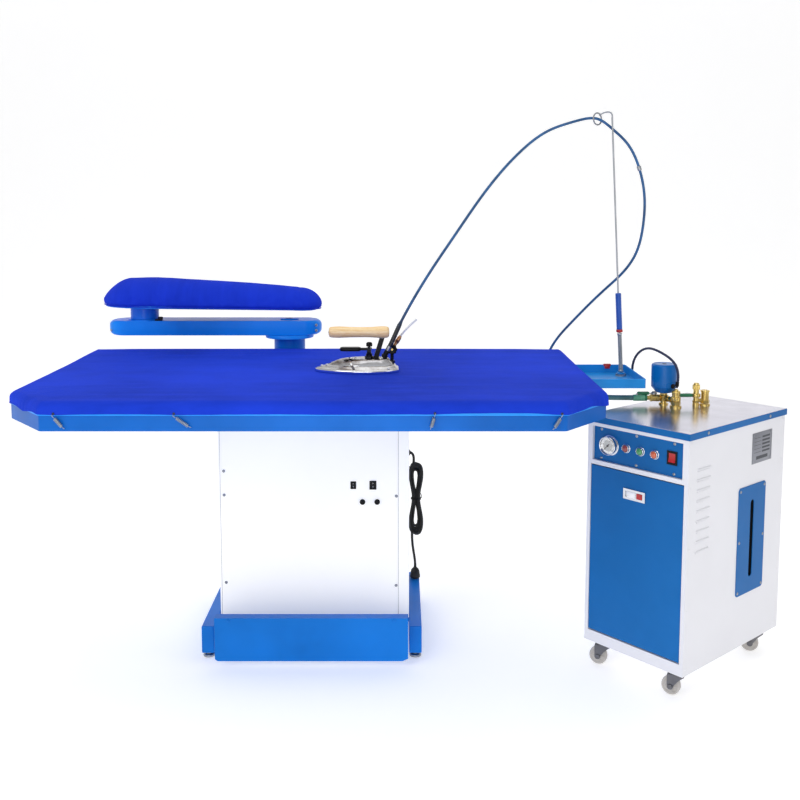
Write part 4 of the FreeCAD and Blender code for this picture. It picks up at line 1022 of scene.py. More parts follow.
def hem_hooks():
    """small coil springs with hooked ends, pulling the hem down along the front"""
    part = Part()
    y = -HALF_Y - 4.7
    # upper x, z and lower x, z
    for x1, z1, x2, z2 in ((-585.0, 782.0, -565.0, 759.0), (-299.0, 783.0, -267.0, 761.0),
                           (310.0, 784.0, 302.0, 758.0), (608.0, 783.0, 592.0, 757.0)):
        top, foot = Vector((x1, y, z1)), Vector((x2, y, z2))
        down = (foot - top).normalized()
        part.tube(helix(top + down * 2, foot - down * 3, 3.9, 9, 16), 0.95, seg=8)
        # each hook: (distance along the spring, distance towards the table)
        upper = ((3.0, 2.0), (1.0, 0.6), (-1.5, -0.8), (-5.0, -0.6), (-8.0, 0.6), (-8.6, 2.2),
                 (-6.6, 3.0))
        lower = ((-4, 2.0), (-2.0, 0.8), (0.5, 0.2), (3.0, 1.0), (4.2, 3.2), (2.6, 4.8))
        for end, hook, samples in ((top, upper, 22), (foot, lower, 20)):
            path = [end + down * along + Vector(BACK) * inward for along, inward in hook]
            part.tube(spline(path, samples), 0.75, seg=8)
    smooth_all(part.finish("hem_spring_hooks", SPRING_STEEL, sharp=None, replaces="cover_hooks"))


def hem_eyelets():
    """eyelets in the hem behind the hooks"""
    part = Part()
    for x, z in ((-587.0, 791.5), (-303.0, 791.8), (311.5, 792.6), (611.0, 791.6)):
        part.lathe([(3.3, -0.2), (3.3, 0.4), (3.0, 0.75), (2.4, 0.9), (1.8, 0.7), (1.6, 0.2),
                    (0, 0.2)], (x, -428.2, z), FRONT, seg=24)
    part.finish("hem_eyelets", NAVY_SHEATH, sharp=40)


def rocker_marks(name, body, x, half_width, half_height):
    """raised bar on the upper half of a rocker and a ring on its lower half"""
    middle, face_y = 486.0, 40.4
    part = Part()
    part.box((x - 0.35, x + 0.35), (0, 0.18),
             (middle + half_height * 0.35, middle + half_height * 0.72))
    radius = half_width * 0.26
    part.tube(loop_points((x, 0.09, middle - half_height * 0.55), (radius, 0, 0),
                          (0, 0, radius), 24), 0.2, seg=6, closed=True)
    # each half of the rocker leans 1.6 mm towards its outer edge
    for vert in part.mesh.verts:
        vert.co.y += face_y - 2.6 - 1.6 * abs(vert.co.z - middle) / half_height - 0.12
    bmesh.ops.rotate(part.mesh, cent=Vector((x, face_y, middle)), verts=part.mesh.verts,
                     matrix=Matrix.Rotation(radians(-6.0), 3, "X"))
    part.finish(name, WHITE_PLASTIC, body, sharp=40)


def fuse_caps():
    part = Part()
    for x in (122.0, 164.0):
        origin = (x, CABINET_FRONT, 437.0)
        part.lathe([(5.4, 8.6), (5.5, 9.2), (5.0, 9.7), (4.6, 9.75), (4.4, 9.2), (0.0, 9.2)],
                   origin, FRONT, seg=40)
        part.lathe([(5.75, 3.2), (5.75, 8.2)], origin, FRONT, seg=96, wobble=knurl(32, 0.35))
    part.finish("fuse_holder_caps", PHENOLIC)


def levelling_feet():
    part = Part()
    for x in (-316.0, 273.0):
        for y in (-4.0, 384.0):
            part.lathe([(15.6, 0.0), (16.6, 0.6), (17.0, 1.6), (17.0, 4.6), (16.4, 6.2),
                        (14.6, 7.2), (12.2, 8.4), (8.0, 9.0)], (x, y, 0))
            part.nut((x, y, 0), 8.0, 8.8, 13.6, slot=1)
    part.finish("levelling_feet_pads", [STEEL, STEEL], replaces="levelling_feet")


panel_screws()
hem_hooks()
hem_eyelets()
refine("switch_housings", BLACK_PLASTIC, bevel=0.0005, name="switch_bezels")
refine("suction_rocker", BLACK_PLASTIC, bevel=0.0004)
refine("heater_rocker", BLACK_PLASTIC, bevel=0.0004)
rocker_marks("suction_rocker_marks", "suction_switch", 96.0, half_width=5.0, half_height=7.2)
rocker_marks("heater_rocker_marks", "heater_switch", 152.0, half_width=6.6, half_height=8.8)
fuse_caps()
levelling_feet()


# -------------------------------------------------------------------- cables
CABINET_SIDE = 255.0      # x of the cabinet's right wall
CORD_RADIUS = 3.9
# turns of the hanging cord: centre x, y, lowest z, highest z, half width, sway phase
CORD_TURNS = (
    (279.0, 284.0, 262.0, 484.0, 17.5, 0.9), (281.5, 290.0, 258.0, 480.0, 12.0, 4.2),
    (275.5, 298.0, 264.0, 482.0, 11.0, 2.9), (277.5, 288.5, 268.0, 477.0, 14.0, 0.2),
    (279.5, 294.0, 274.0, 471.0, 15.0, 1.3), (278.0, 299.5, 270.0, 474.0, 12.5, 2.4),
    (280.5, 303.5, 279.0, 466.0, 10.5, 3.6), (276.8, 293.5, 284.0, 462.0, 9.0, 5.0))


def cord_turn(x, y, low, high, half, phase):
    """closed loop of cord, pulled in at the tie and bulging above and below it"""
    middle = (low + high) / 2
    side = ((1.0, low + half), (1.06, low + 45), (0.80, middle - 36), (0.52, middle - 4),
            (0.74, middle + 34), (1.02, high - 48), (1.0, high - half))
    points = [(x + u * half, y + 1.6 * sin(z * 0.05 + phase), z) for u, z in side]
    points += [(x + half * cos(radians(a)), y, high - half + half * sin(radians(a)))
               for a in (40, 90, 140)]
    points += [(x - u * half, y + 1.6 * cos(z * 0.05 + phase), z) for u, z in side[::-1]]
    points += [(x + half * cos(radians(a)), y, low + half + half * sin(radians(a)))
               for a in (220, 270, 320)]
    points = [Vector(p) for p in points]
    # spline past both ends, then keep one turn from the first point round to itself
    path = spline_vectors(points[-3:] + points + points[:3], 230)
    half_way = len(path) // 2

    def miss(i):
        return (path[i] - points[0]).length
    return path[min(range(half_way), key=miss):min(range(half_way, len(path)), key=miss)]


def power_cord():
    """tied coil on a hook at the cabinet's right side, its gland and its plug"""
    part = Part()
    for turn in CORD_TURNS:
        part.tube(cord_turn(*turn), CORD_RADIUS, seg=12, closed=True)
    # lead down to the plug
    part.tube(spline([(268.0, 304.0, 340.0), (268.5, 309.0, 300.0), (267.0, 311.0, 250.0),
                      (272.0, 322.0, 190.0), (277.0, 338.0, 150.0), (277.5, 345.5, 128.0)], 60),
              CORD_RADIUS, seg=14)
    # other end of the cord into the gland on the cabinet side
    part.tube(spline([(268.0, 296.0, 440.0), (270.0, 297.0, 468.0), (272.0, 300.0, 492.0),
                      (269.0, 303.0, 508.0), (262.0, 304.0, 514.0), (257.0, 304.0, 514.0)], 50),
              CORD_RADIUS, seg=14)
    gland = (CABINET_SIDE, 304.0, 514.0)
    part.lathe([(7.5, 0.0), (7.5, 2.0), (6.2, 2.4), (6.2, 6.0), (5.4, 7.2), (3.5, 7.4)],
               gland, RIGHT, seg=32)
    part.nut(gland, 8.0, 1.5, 5.2, RIGHT)
    # hook that carries the coil
    part.tube(spline([(255.0, 297.0, 470.0), (262.0, 297.0, 470.2), (272.0, 297.0, 469.0),
                      (283.0, 297.0, 468.4), (290.0, 297.0, 469.5), (293.0, 297.0, 475.0)], 40),
              2.0, seg=12, slot=1)
    part.lathe([(8.0, 0.0), (8.0, 1.2), (7.4, 1.6), (0, 1.6)], (CABINET_SIDE, 297.0, 470.0),
               RIGHT, seg=32, slot=1)
    # tie round the waist
    waist = []
    for k in range(36):
        turn = 2 * pi * k / 36
        waist.append(Vector((278.6 + 15.0 * cos(turn), 294.0 + 16.4 * sin(turn),
                             371.0 + 1.0 * sin(2 * turn))))
    for rise in (-1.6, 0.0, 1.6):
        part.tube([p + Vector((0, 0, rise)) for p in waist], 1.1, seg=8, closed=True, slot=2)
    part.box((286.0, 293.5), (284.0, 288.5), (368.5, 373.5), 0.8, slot=2)
    part.tube(spline([(291, 285, 372), (295, 281, 376), (296, 279, 384), (293, 278, 391)], 16),
              1.0, seg=8, slot=2)
    # plug: grip body, ribbed strain relief and three flat pins
    plug_x, plug_y = 277.5, 346.0
    part.lathe([(11.0, 3.0), (15.0, 3.6), (16.0, 5.4), (15.8, 11.0), (14.8, 16.0), (13.8, 19.0),
                (14.4, 20.4), (13.4, 21.8), (13.9, 23.2), (12.9, 24.6), (13.3, 26.0),
                (12.2, 27.6), (10.6, 30.6), (7.6, 33.4), (5.4, 35.0)], (plug_x, plug_y, 93.5),
               wobble=lambda r, h, turn: r * (1.0 + 0.14 * abs(sin(turn)) ** 2))
    for i in range(6):
        rib = 4.9 - i * 0.18
        part.lathe([(3.5, 0.0), (rib, 0.3), (rib, 1.5), (3.5, 1.8)],
                   (plug_x, plug_y - i * 0.3, 128.0 + i * 2.4), (0, -0.08, 1), seg=24)
    for dx, dy in ((-5.0, 4.0), (5.0, 4.0), (0.0, -5.5)):
        x, y = plug_x + dx, plug_y + dy
        part.box((x - 0.8, x + 0.8), (y - 3.2, y + 3.2), (94.0, 98.0), 0.4, slot=1)
    part.finish("power_cord_coil", [RUBBER, STEEL, BLACK_PLASTIC], replaces="electric_cables")


def control_cable():
    """from the cabinet, under the table, over the tray end and down to the canister"""
    canister_end, before_end = (1009.0, 34.0, 768.2), (1011.0, 29.0, 800.0)
    part = Part()
    part.tube(spline([
        (255.4, 300.0, 740.5), (300.0, 300.0, 742.0), (450.0, 299.0, 742.5),
        (600.0, 288.0, 742.5), (700.0, 255.0, 742.5), (765.0, 237.0, 744.0),
        (855.0, 235.0, 751.0), (902.0, 227.0, 757.0), (920.5, 214.0, 773.0),
        (923.0, 202.0, 803.0), (930.0, 170.0, 845.0), (946.0, 120.0, 868.0),
        (972.0, 60.0, 863.0), (1000.0, 30.0, 838.0), before_end, canister_end], 260), 3.6)
    part.lathe([(5.8, 0.0), (5.8, 3.0), (4.8, 3.8), (4.8, 7.5), (3.7, 8.2)],
               (CABINET_SIDE, 300.0, 740.4), (1, 0.0, 0.03), seg=28, slot=1)
    # ribbed gland at the canister
    down = (Vector(canister_end) - Vector(before_end)).normalized()
    for i in range(5):
        rib = 5.4 - 0.1 * i
        part.lathe([(3.6, 0.0), (rib, 0.3), (rib, 2.0), (3.6, 2.3)],
                   Vector((1009.3, 33.2, 773.0)) - down * (2.6 * i), -down, seg=24, slot=1)
    # clips under the table
    for x, y, z in ((360.0, 299.8, 742.3), (520.0, 294.2, 742.5), (660.0, 270.5, 742.5)):
        part.box((x - 5, x + 5), (y - 12, y + 12), (746.4, 748.0), 0.4, slot=2)
        part.tube(loop_points((x, y, z), (0, 4.6, 0), (0, 0, 4.6), 24), 1.0, seg=8,
                  closed=True, slot=2)
    part.finish("control_cable", [NAVY_SHEATH, BLACK_PLASTIC, STEEL])


power_cord()
control_cable()

# ----------------------------------------------------------------- swing arm
ARM_Y, ARM_RADIUS = 490.0, 55.0
ARM_LEFT, ARM_RIGHT = -715.0 + ARM_RADIUS, -26.0 - ARM_RADIUS   # centres of the round ends
ARM_BOTTOM, ARM_TOP = 864.0, 911.0
COLUMN_X, BOARD_X = -131.0, -602.0    # the column under the arm and the sleeve board pivot


def arm_beam():
    """beam with round ends, its edges eased further round the ends"""
    cap_steps, side_steps = 40, 60
    outline = []      # x, y, share of end rounding

    def cap(centre, start):
        for k in range(cap_steps + 1):
            turn = start + pi * k / cap_steps
            outline.append((centre + ARM_RADIUS * cos(turn), ARM_Y + ARM_RADIUS * sin(turn),
                            abs(cos(turn))))

    def side(start, end, y):
        for k in range(1, side_steps):
            outline.append((start + (end - start) * k / side_steps, y, 0.0))
    cap(ARM_LEFT, pi / 2)
    side(ARM_LEFT, ARM_RIGHT, ARM_Y - ARM_RADIUS)
    cap(ARM_RIGHT, -pi / 2)
    side(ARM_RIGHT, ARM_LEFT, ARM_Y + ARM_RADIUS)

    def spine(x):
        return min(max(x, ARM_LEFT), ARM_RIGHT)

    def flat(scale, z):
        return [(spine(x) + (x - spine(x)) * scale, ARM_Y + (y - ARM_Y) * scale, z)
                for x, y, _ in outline]

    def eased(turn, z, inward):
        points = []
        for x, y, roundness in outline:
            outward = Vector((x - spine(x), y - ARM_Y, 0)).normalized()
            ease = 2.2 + 15.0 * roundness ** 1.5
            offset = ease - ease * cos(turn)
            points.append((x - outward.x * offset, y - outward.y * offset,
                           z + inward * (ease - ease * sin(turn))))
        return points
    rows = [flat(0.21, ARM_TOP), flat(0.35, ARM_TOP)]
    rows += [eased(pi / 2 * (1 - k / 7), ARM_TOP, -1) for k in range(8)]
    rows += [eased(pi / 2 * (k / 7), ARM_BOTTOM, 1) for k in range(8)]
    rows += [flat(0.35, ARM_BOTTOM), flat(0.21, ARM_BOTTOM)]
    part = Part()
    part.loft(rows, flip=True)
    # plate under the beam at the column, and the round bosses on top
    column, board = (COLUMN_X, ARM_Y, 0), (BOARD_X, ARM_Y, 0)
    part.lathe([(77.0, 853.2), (78.0, 854.2), (78.0, 863.0), (77.0, 864.2)], column, seg=96)
    part.lathe([(52.0, 910.5), (52.0, 913.0), (51.0, 913.9)], board, seg=80)
    part.lathe([(30.0, 910.5), (30.0, 912.6), (28.6, 913.8), (12.0, 914.2)], column, seg=64)
    part.finish("swing_arm_beam", ARM_PAINT, "swing_arm", sharp=40, replaces="swing_arm")


def arm_screws():
    """screws in the rounded ends and a cap over the column"""
    part = Part()
    for z in (879.0, 896.5):
        part.screw((-40.5, 445.5, z), (0.55, -0.83, 0), 4.6, 2.0, 0.5)
    part.screw((-701.0, 446.5, 880.0), (-0.62, -0.78, 0), 4.2, 1.8, 0.9)
    part.lathe([(12.0, 0), (12.0, 1.2), (11.2, 1.9), (3.0, 2.1), (2.4, 1.3), (0, 1.3)],
               (COLUMN_X, ARM_Y, 913.4), seg=40)
    part.finish("swing_arm_cap_screws", STEEL, "swing_arm", sharp=40)


def arm_clamp():
    part = Part()
    part.box((-558.0, -535.0), (438.0, 455.0), (911.0, 916.0), 1.4)
    part.lathe([(7.0, 0.0), (7.6, 1.0), (7.6, 6.4), (6.8, 7.8), (0.0, 8.2)],
               (-541.0, 446.0, 915.6), seg=40,
               wobble=lambda r, h, turn: r * (1 + 0.05 * cos(6 * turn)))
    part.finish("swing_arm_clamp", BLACK_PLASTIC, "swing_arm", sharp=40)


def arm_foot():
    """ring and bolts round the foot of the column"""
    part = Part()
    part.tube(loop_points((COLUMN_X, ARM_Y, 758.8), (51.0, 0, 0), (0, 51.0, 0), 120), 1.9,
              seg=8, closed=True)
    for x, y in ((-192.0, 438.0), (-70.0, 438.0), (-192.0, 534.0), (-70.0, 534.0)):
        part.nut((x, y, 0), 6.5, 758.0, 763.5)
    part.finish("arm_bracket_bolts", FRAME_PAINT)


arm_beam()
arm_screws()
arm_clamp()
arm_foot()

# ------------------------------------------------------------- sleeve board
BOARD_PIVOT = Vector((BOARD_X, ARM_Y, 962))
BOARD_TILT = Matrix.Rotation(radians(1.3), 4, "Y")
SLEEVE = TABLE @ about(BOARD_PIVOT, BOARD_TILT)
SPINE_LEFT, SPINE_RIGHT = -640.0, -100.0    # ends of the cushion's middle line
# crest of the cushion: (x, z)
CREST = np.array((
    (-729.0, 979.5), (-727.0, 985.0), (-714.0, 998.0), (-694.0, 1014.0), (-668.0, 1032.0),
    (-640.0, 1045.4), (-620.0, 1046.0), (-596.0, 1046.8), (-560.0, 1047.0), (-520.0, 1045.6),
    (-470.0, 1042.5), (-330.0, 1037.5), (-110.0, 1028.0), (-60.0, 1018.5), (-31.0, 998.5),
    (-25.0, 983.0)))
CROWN_FOOT = 978.0
# shares of the way from the middle line to the rim
CROWN_RINGS = (0.0, 0.16, 0.30, 0.44, 0.56, 0.67, 0.765, 0.845, 0.905, 0.95, 0.98, 0.996)
# wall and turned-under hem: (offset from the outline, z)
CUSHION_WALL = ((0.0, 977.0), (-0.2, 973.0), (-0.9, 969.0), (-2.3, 965.4), (-4.6, 962.4),
                (-7.6, 960.6), (-9.9, 960.6), (-10.6, 962.0), (-10.9, 963.6), (-30.0, 963.8))


def cushion_outline():
    """plan of the cushion, (x, y from the arm's line): big round end left, small one right"""
    left, left_radius, right, right_radius = -629.0, 100.5, -89.0, 63.0
    left_steps, side_steps, right_steps = 52, 66, 36
    outline = []

    def side(start, end, bulge):
        for k in range(1, side_steps):
            share = k / side_steps
            outline.append((start[0] + (end[0] - start[0]) * share,
                            start[1] + (end[1] - start[1]) * share + bulge * sin(pi * share)))
    for k in range(left_steps + 1):
        turn = pi * 0.5 + 0.04 + (pi - 0.08) * k / left_steps
        outline.append((left + left_radius * cos(turn), left_radius * sin(turn) * 1.02))
    right_start = -pi / 2 + 0.06
    side(outline[-1], (right + right_radius * cos(right_start),
                       right_radius * sin(right_start)), -4.2)
    for k in range(right_steps + 1):
        turn = right_start + (pi - 0.12) * k / right_steps
        outline.append((right + right_radius * cos(turn), right_radius * sin(turn)))
    side(outline[-1], outline[0], 4.2)
    return outline


def cushion_spine(x):
    return min(max(x, SPINE_LEFT), SPINE_RIGHT)


def offset_point(x, y, offset, z):
    """outline point pushed away from the middle line, at height z"""
    spine = cushion_spine(x)
    outward = Vector((x - spine, y, 0))
    reach = outward.length + offset
    outward.normalize()
    return (spine + outward.x * reach, ARM_Y + outward.y * reach, z)


def crown_point(x, y, share):
    """point on the crown, a superellipse from the middle line out to the rim"""
    spine = cushion_spine(x)
    top = float(np.interp(spine, CREST[:, 0], CREST[:, 1]))
    endward = ((spine - x) / hypot(spine - x, y)) ** 2 if x < spine else 0.0
    height = (1 - share ** (2.25 - 0.6 * endward)) ** (0.62 + 0.18 * endward)
    return (spine + (x - spine) * share, ARM_Y + y * share,
            CROWN_FOOT + (top - CROWN_FOOT) * height * 0.985)


def inflate(obj):
    """blow the cushion up with a short cloth run, moving no point more than 4 mm"""
    data = obj.data
    rest = np.array([v.co for v in data.vertices])
    group = obj.vertex_groups.new(name="pin")
    for vert in data.vertices:
        z = vert.co.z * 1000
        weight = 1.0 if z < 967.0 else (0.6 if z < 972.0 else 0.0)
        if weight:
            group.add([vert.index], weight, "REPLACE")
    modifier = obj.modifiers.new("cloth", "CLOTH")
    settings = modifier.settings
    settings.quality = 6
    settings.mass = 0.25
    settings.vertex_group_mass = "pin"
    settings.tension_stiffness = settings.compression_stiffness = 18
    settings.shear_stiffness = 6
    settings.bending_stiffness = 3.0
    settings.use_pressure = True
    settings.uniform_pressure_force = 2.2
    settings.shrink_min = -0.004
    settings.effector_weights.gravity = 0.0
    modifier.collision_settings.use_collision = False
    modifier.point_cache.frame_start = 1
    modifier.point_cache.frame_end = 22
    for f in range(1, 21):
        scene.frame_set(f)
    evaluated = obj.evaluated_get(bpy.context.evaluated_depsgraph_get())
    blown = np.array([v.co for v in evaluated.data.vertices])
    obj.modifiers.remove(modifier)
    scene.frame_set(1)
    shift = blown - rest
    length = np.linalg.norm(shift, axis=1)
    limit = 0.004
    scale = np.where(length > limit, limit / np.maximum(length, 1e-9), 1.0)
    data.vertices.foreach_set("co", (rest + shift * scale[:, None]).astype(np.float32).ravel())
    data.update()


def pucker(mesh):
    """subdivide, then gather the cloth where it is drawn under the board"""
    bmesh.ops.subdivide_edges(mesh, edges=mesh.edges, cuts=1, use_grid_fill=True, smooth=0.35)
    for vert in mesh.verts:
        x, y, z = vert.co * 1000
        low = bell((z - 966.0) / 9.0)
        round_run = atan2(y - ARM_Y, (x + 350) * 0.28) * 60
        height = 0.8 * sin(round_run * 1.9 + 2.4 * wander(x * 0.02, y * 0.02)) \
            + 0.8 * wander(x * 0.045, y * 0.045, 3)
        outward = Vector((x - cushion_spine(x), y - ARM_Y, 0)).normalized()
        vert.co += outward * (height * low * 0.001)
        vert.co.z += 0.0005 * wander(x * 0.02, y * 0.02, 9) * (1 - low)


def sleeve_cushion(outline):
    rows = [[crown_point(x, y, share) for x, y in outline] for share in CROWN_RINGS]
    rows += [[offset_point(x, y, offset, z) for x, y in outline] for offset, z in CUSHION_WALL]
    part = Part()
    rings = [part.ring(row) for row in rows]
    for upper, lower in zip(rings[:-1], rings[1:]):
        part.wrap(upper, lower, flip=True)
    part.face(rings[-1][::-1])
    mesh = part.mesh
    bmesh.ops.remove_doubles(mesh, verts=mesh.verts, dist=0.4)
    bmesh.ops.dissolve_degenerate(mesh, dist=1e-4, edges=mesh.edges)
    mesh.transform(MM)
    bmesh.ops.recalc_face_normals(mesh, faces=mesh.faces)
    data = bpy.data.meshes.new("sleeve_cloth")
    mesh.to_mesh(data)
    mesh.free()
    obj = bpy.data.objects.new("sleeve_board_cushion", data)
    scene.collection.objects.link(obj)
    inflate(obj)
    mesh = bmesh.new()
    mesh.from_mesh(data)
    pucker(mesh)
    mesh.transform(TABLE_ORIGIN)
    mesh.transform(about(TABLE @ BOARD_PIVOT, BOARD_TILT))
    mesh.to_mesh(data)
    mesh.free()
    smooth_all(obj)
    data.materials.append(SLEEVE_CLOTH)
    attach(obj, "sleeve_board")
    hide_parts("sleeve_board_pad")


def sleeve_trim(outline):
    """corded seam along the hem, a row of stitches above it and screws underneath"""
    rim = [Vector(offset_point(x, y, -2.2, 960.6)) for x, y in outline]
    part = Part()
    part.tube(rim, 1.5, seg=8, closed=True)
    part.finish("sleeve_board_piping", SLEEVE_CLOTH, "sleeve_board", SLEEVE, None)
    part = Part()
    points = resample_closed([(p.x, p.y) for p in rim], 9.0)[0]
    for here, there in zip(points, np.roll(points, -1, 0)):
        start = Vector((*here, 966.8))
        end = start.lerp(Vector((*there, 966.8)), 0.62)
        outward = Vector((start.x - cushion_spine(start.x), start.y - ARM_Y, 0)).normalized() * 3
        part.tube([start + outward * 0.93, start.lerp(end, 0.5) + outward * 1.02,
                   end + outward * 0.93], 0.35, seg=5)
    part.finish("sleeve_board_stitches", SLEEVE_CLOTH, "sleeve_board", SLEEVE, None)
    part = Part()
    for x, y in ((-690.0, 490.0), (-602.0, 430.0), (-602.0, 550.0), (-330.0, 520.0),
                 (-330.0, 460.0), (-90.0, 490.0)):
        part.screw((x, y, 955.0), (0, 0, -1), 5.0, 2.4, x * 0.01)
    part.finish("sleeve_board_screws", STEEL, "sleeve_board", SLEEVE, 40)


CUSHION_OUTLINE = cushion_outline()
sleeve_cushion(CUSHION_OUTLINE)
sleeve_trim(CUSHION_OUTLINE)

# ---------------------------------------------------------- hose pole, tray
POLE_FOOT = Vector((888.0, 200.0, 785.0))
POLE_HEIGHT, POLE_REACH = 758.0, 43.0       # the pole leans right by its reach to the ring
POLE_TOP = POLE_FOOT.z + POLE_HEIGHT
LEAN = about(POLE_FOOT, Matrix.Rotation(-atan2(POLE_REACH, POLE_HEIGHT), 4, "Y"))
RING_CENTRE = Vector((POLE_FOOT.x - POLE_REACH, POLE_FOOT.y, POLE_TOP - 10.0))


def pole():
    leaning = TABLE @ LEAN
    part = Part()
    part.tube(helix(POLE_FOOT + Vector((0, 0, 4.0)), POLE_FOOT + Vector((0, 0, 115.0)), 5.4,
                    46, 14), 1.05, seg=8)
    part.lathe([(5.2, 1.4), (7.0, 1.4), (7.4, 2.0), (7.4, 6.2), (6.8, 7.0), (4.2, 7.0)],
               POLE_FOOT, seg=40)
    part.lathe([(4.2, 111.4), (6.9, 111.4), (7.3, 112.0), (7.3, 117.2), (6.7, 118.0),
                (2.6, 118.4)], POLE_FOOT, seg=40)
    part.finish("pole_coil_spring", SPRING_STEEL, "hose_pole", leaning, 40, "pole_spring")

    part = Part()
    x, y = POLE_FOOT.x, POLE_FOOT.y
    part.tube([(x, y, z) for z in (POLE_FOOT.z + 40.0, POLE_FOOT.z + 300.0, POLE_FOOT.z + 560.0,
                                   POLE_TOP - 30.0, POLE_TOP - 8.0)], 2.5, seg=20)
    wire = spline_vectors([(x + dx, y + dy, POLE_TOP + dz) for dx, dy, dz in (
        (0, 0, -10.0), (-0.4, 0, 0.5), (-4.0, 0, 5.5), (-12.0, 0.6, 8.0), (-22.0, 3.6, 7.0),
        (-33.0, 7.1, 2.4))], 50)
    part.tube(wire, 2.3)
    side, up, _ = basis((0.60, -0.80, 0))
    part.tube(loop_points(RING_CENTRE, side * 17.0, up * 17.0, 72), 2.3, closed=True)
    # brazed lump where the wire closes on the ring
    part.lathe([(0, -4.2), (2.2, -3.4), (3.2, -1.2), (3.2, 1.2), (2.2, 3.4), (0, 4.2)],
               wire[-1], wire[-1] - wire[-4], seg=20)
    part.finish("pole_rod_and_ring", STEEL, "hose_pole", leaning, 40, "pole_rod")

    part = Part()
    profile = [(2.6, 129.2), (7.2, 129.2), (8.4, 130.0)]
    z = 131.0
    while z < 234.0:
        profile += [(8.6, z), (8.6, z + 2.2), (8.05, z + 2.8), (8.05, z + 3.6)]
        z += 4.2
    profile += [(8.4, 235.5), (7.0, 236.8), (2.6, 237.0)]
    part.lathe(profile, POLE_FOOT, seg=40)
    part.lathe([(2.6, 120.4), (8.8, 120.4), (9.6, 121.4), (9.6, 127.4), (8.8, 128.6),
                (2.6, 128.8)], POLE_FOOT, seg=40, slot=1)
    part.finish("pole_grip_sleeve", [POLE_BLUE, RED_PLASTIC], "hose_pole", leaning, 40,
                "pole_grip")


def tray_trim():
    """pole nut and screws on the tray, its rolled rim and a red clip on the rim"""
    part = Part()
    foot = (POLE_FOOT.x, POLE_FOOT.y, 0)
    part.nut(foot, 13.5, 774.0, 781.0)
    part.lathe([(16.5, 774.0), (16.5, 775.2), (15.8, 775.8), (13.0, 775.8)], foot)
    for y in (73.0, 203.0):
        part.screw((766.0, y, 774.0), UP, 4.5, 2.4, 0.7)
    part.finish("tray_nut_and_screws", STEEL)
    left, right, front, back = 758.0, 914.0, 6.0, 261.0
    part = Part()
    rim = fillet_outline([(left, front), (right, front), (right, back), (left, back)], 4.5, 6)
    part.tube([(x, y, 796.6) for x, y in rim], 1.7, seg=10, closed=True)
    part.finish("tray_rolled_rim", TRAY_PAINT, sharp=None)
    part = Part()
    part.box((848.0, 870.0), (257.0, 264.2), (793.6, 800.8), 1.2)
    part.box((851.0, 867.0), (256.2, 258.6), (786.0, 796.0), 0.8)
    part.finish("tray_red_clip", RED_PLASTIC)


pole()
tray_trim()

# ---------------------------------------------------------------- steam iron
# iron frame: mm, sole at z 0, its pointed tip towards -X
SOLE_HALF = 117.0
# half plan of the sole, heel to tip: (x, y)
SOLE_PLAN = ((117.0, 24.0), (98.0, 42.0), (50.0, 60.0), (-10.0, 61.0), (-70.0, 41.0),
             (-100.0, 22.5), (-113.0, 10.5), (-117.0, 0.0))
# levels: width share, inset at the tip, inset at the heel, z
SOLE_LEVELS = (
    (0.975, 2.5, 2.0, 0.05), (0.99, 1.2, 1.0, 1.4), (0.995, 0.6, 0.5, 7.6), (0.985, 1.6, 1.2, 9.6),
    (0.965, 3.4, 2.4, 10.8), (0.93, 7.5, 4.0, 11.8), (0.895, 12.0, 6.0, 13.0),
    (0.86, 16.5, 7.4, 14.6), (0.82, 21.0, 8.6, 16.4), (0.78, 26.0, 10.4, 18.4),
    (0.75, 30.0, 12.4, 19.6), (0.72, 34.0, 15.0, 20.0))
COVER_LEVELS = (
    (0.71, 35.0, 17.0, 19.6), (0.70, 38.0, 18.0, 21.4), (0.68, 44.0, 20.0, 24.4),
    (0.65, 51.0, 22.4, 27.6), (0.615, 59.0, 25.0, 30.6), (0.58, 67.0, 27.0, 33.2),
    (0.55, 74.0, 28.6, 35.0), (0.52, 80.0, 30.0, 36.2), (0.49, 84.0, 31.4, 36.8),
    (0.46, 87.0, 33.0, 37.0))
COVER_FLAT = 37.0         # top of the iron's cover
# profile of the turned handle: (x, radius)
HANDLE = ((-77.0, 11.0), (-76.2, 12.4), (-74.5, 13.6), (-66.0, 15.4), (-48.0, 16.0),
          (-20.0, 14.9), (10.0, 14.4), (40.0, 14.8), (62.0, 16.2), (80.0, 16.3), (86.0, 15.0),
          (89.4, 12.0), (90.5, 8.0))
HANDLE_Z = 109.6
VALVE = (34.0, 0.0, 0.0)
KNOB_VALVE = (34.0, 20.0, 0.0)
REAR_X, REAR_Z = 98.0, 59.0
REAR_POST = (REAR_X, 22.0, 0.0)
# where the hose leaves the iron, and its direction there
UNION = Vector((74.0, 0.0, 36.0))
UNION_DIRECTION = Vector((39.0, 0, 76.0)).normalized()


def sole_loft(levels):
    rings = []
    for width, tip, heel, z in levels:
        left, right = -SOLE_HALF + tip, SOLE_HALF - heel
        half = spline([(left + (x + SOLE_HALF) / (2 * SOLE_HALF) * (right - left), y * width, 0)
                       for x, y in SOLE_PLAN], 60)
        rings.append([(p[0], p[1], z) for p in half]
                     + [(p[0], -p[1], z) for p in half[::-1][1:]])
    part = Part()
    part.loft(rings)
    return part


